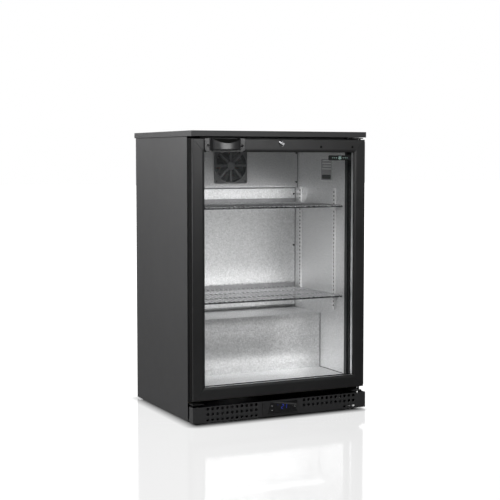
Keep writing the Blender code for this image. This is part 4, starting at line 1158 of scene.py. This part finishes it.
def make_world():
    """White to the camera; to the object, a studio whose walls are bright or dim."""
    world = bpy.data.worlds.new("studio")
    bpy.context.scene.world = world
    world.use_nodes = True
    tree = world.node_tree
    here = node(tree, "TexCoord", "Generated")
    total = 0.0
    for name, (towards, sharpness, strength) in SKY.items():
        lobe = node(tree, "VectorMath", "Value", here, Vector(towards).normalized(),
                    mode="DOT_PRODUCT")
        for operation, amount in (("MAXIMUM", 0.0), ("POWER", sharpness),
                                  ("MULTIPLY", strength)):
            lobe = node(tree, "Math", "Value", lobe, amount, mode=operation)
        lobe.node.label = name
        total = node(tree, "Math", "Value", lobe, total, mode="ADD")
    room = tree.nodes["Background"]
    connect(tree, room.inputs, Color=(1, 1, 1, 1), Strength=total)
    white = node(tree, "Background", "Background", Color=(1, 1, 1, 1))
    seen = node(tree, "MixShader", "Shader", node(tree, "LightPath", "Is Camera Ray"),
                room.outputs["Background"], white)
    tree.links.new(seen, tree.nodes["World Output"].inputs["Surface"])


def footprint_shade(tree):
    """1 on the open floor, falling softly to 0 under the cabinet."""
    spot = node(tree, "TexCoord", "Object")
    for operation, amount in (("ADD", (SHADE_SHIFT, 0, 0)), ("ABSOLUTE", (0, 0, 0)),
                              ("SUBTRACT", SHADE_HALF), ("MAXIMUM", (0, 0, 0))):
        spot = node(tree, "VectorMath", "Vector", spot, amount, mode=operation)
    length = node(tree, "VectorMath", "Value", spot, mode="LENGTH")
    return ranged(tree, length, 0.0, 1.0, 0.0, SHADE_EDGE)


def make_floor():
    """A wide white floor, lit from within, with a faint gloss."""
    shape = bmesh.new()
    bmesh.ops.create_grid(shape, x_segments=1, y_segments=1, size=30)
    floor = helper_object("studio_floor", shape)
    material = finish("studio_white", (0.15, 0.15, 0.15), 0.07, spread=0.01, patch=2.0,
                      gloss_spread=0.01, grain=0.3, depth=0.0, Specular_IOR_Level=0.45,
                      Emission_Color=(1, 1, 1, 1))
    tree = material.node_tree
    glow = ranged(tree, node(tree, "LightPath", "Is Camera Ray"), FLOOR_GLOW, FLOOR_WHITE, 0, 1)
    glow.node.label = "floor_glow"
    strength = node(tree, "Math", "Value", glow, footprint_shade(tree), mode="MULTIPLY")
    connect(tree, tree.nodes["Principled BSDF"].inputs, Emission_Strength=strength)
    floor.data.materials.append(material)


def make_camera():
    data = bpy.data.cameras.new("camera")
    data.lens = 87.87
    data.sensor_width = 36.0
    camera = bpy.data.objects.new("camera", data)
    camera.location = (-1.7225, -3.5418, 0.799)
    yaw, pitch = math.radians(25.957), math.radians(4.318)
    camera.rotation_euler = (math.pi / 2 - pitch, 0, -yaw)
    bpy.context.scene.collection.objects.link(camera)
    bpy.context.scene.camera = camera
    bpy.context.scene.view_settings.view_transform = "Standard"


def make_object():
    for (material, width), names in KEPT.items():
        for name in names:
            finish_kept_node(NODES[name], material, width)
    make_gasket()
    make_handle()
    make_lock()
    make_door_trim()
    make_door_edge()
    make_badge()
    make_evaporator_cover()
    make_fan_guard()
    fan_wheel("evaporator_fan_wheel", "evaporator_fan_impeller", "evaporator_fan", 0.019, 7,
              "plastic")
    fan_wheel("condenser_fan_wheel", "condenser_fan_impeller", "condenser_fan", 0.025, 5,
              "fin")
    finned_coil("evaporator_fins", "evaporator_coil", 96, 2, 5)
    finned_coil("condenser_fins", "condenser_coil", 80, 2, 8)
    make_light()
    make_shelf("shelf_upper")
    make_shelf("shelf_lower")
    corners = [f"{place}_{hand}" for place in ("front", "rear") for hand in ("left", "right")]
    for level in ("upper", "lower"):
        for corner in corners:
            make_clip(f"shelf_clip_{level}_{corner}")
    for corner in corners:
        make_rail("shelf_rail_" + corner)
    make_shadow_lines()
    make_label()
    make_plinth()
    make_controls()
    make_compressor()
    make_pipes()
    make_rear_fittings()
    for corner in corners:
        make_foot("foot_" + corner)
    make_hinge_fittings()
    SCREW.free()


make_object()
make_floor()
make_world()
make_lights()
make_camera()
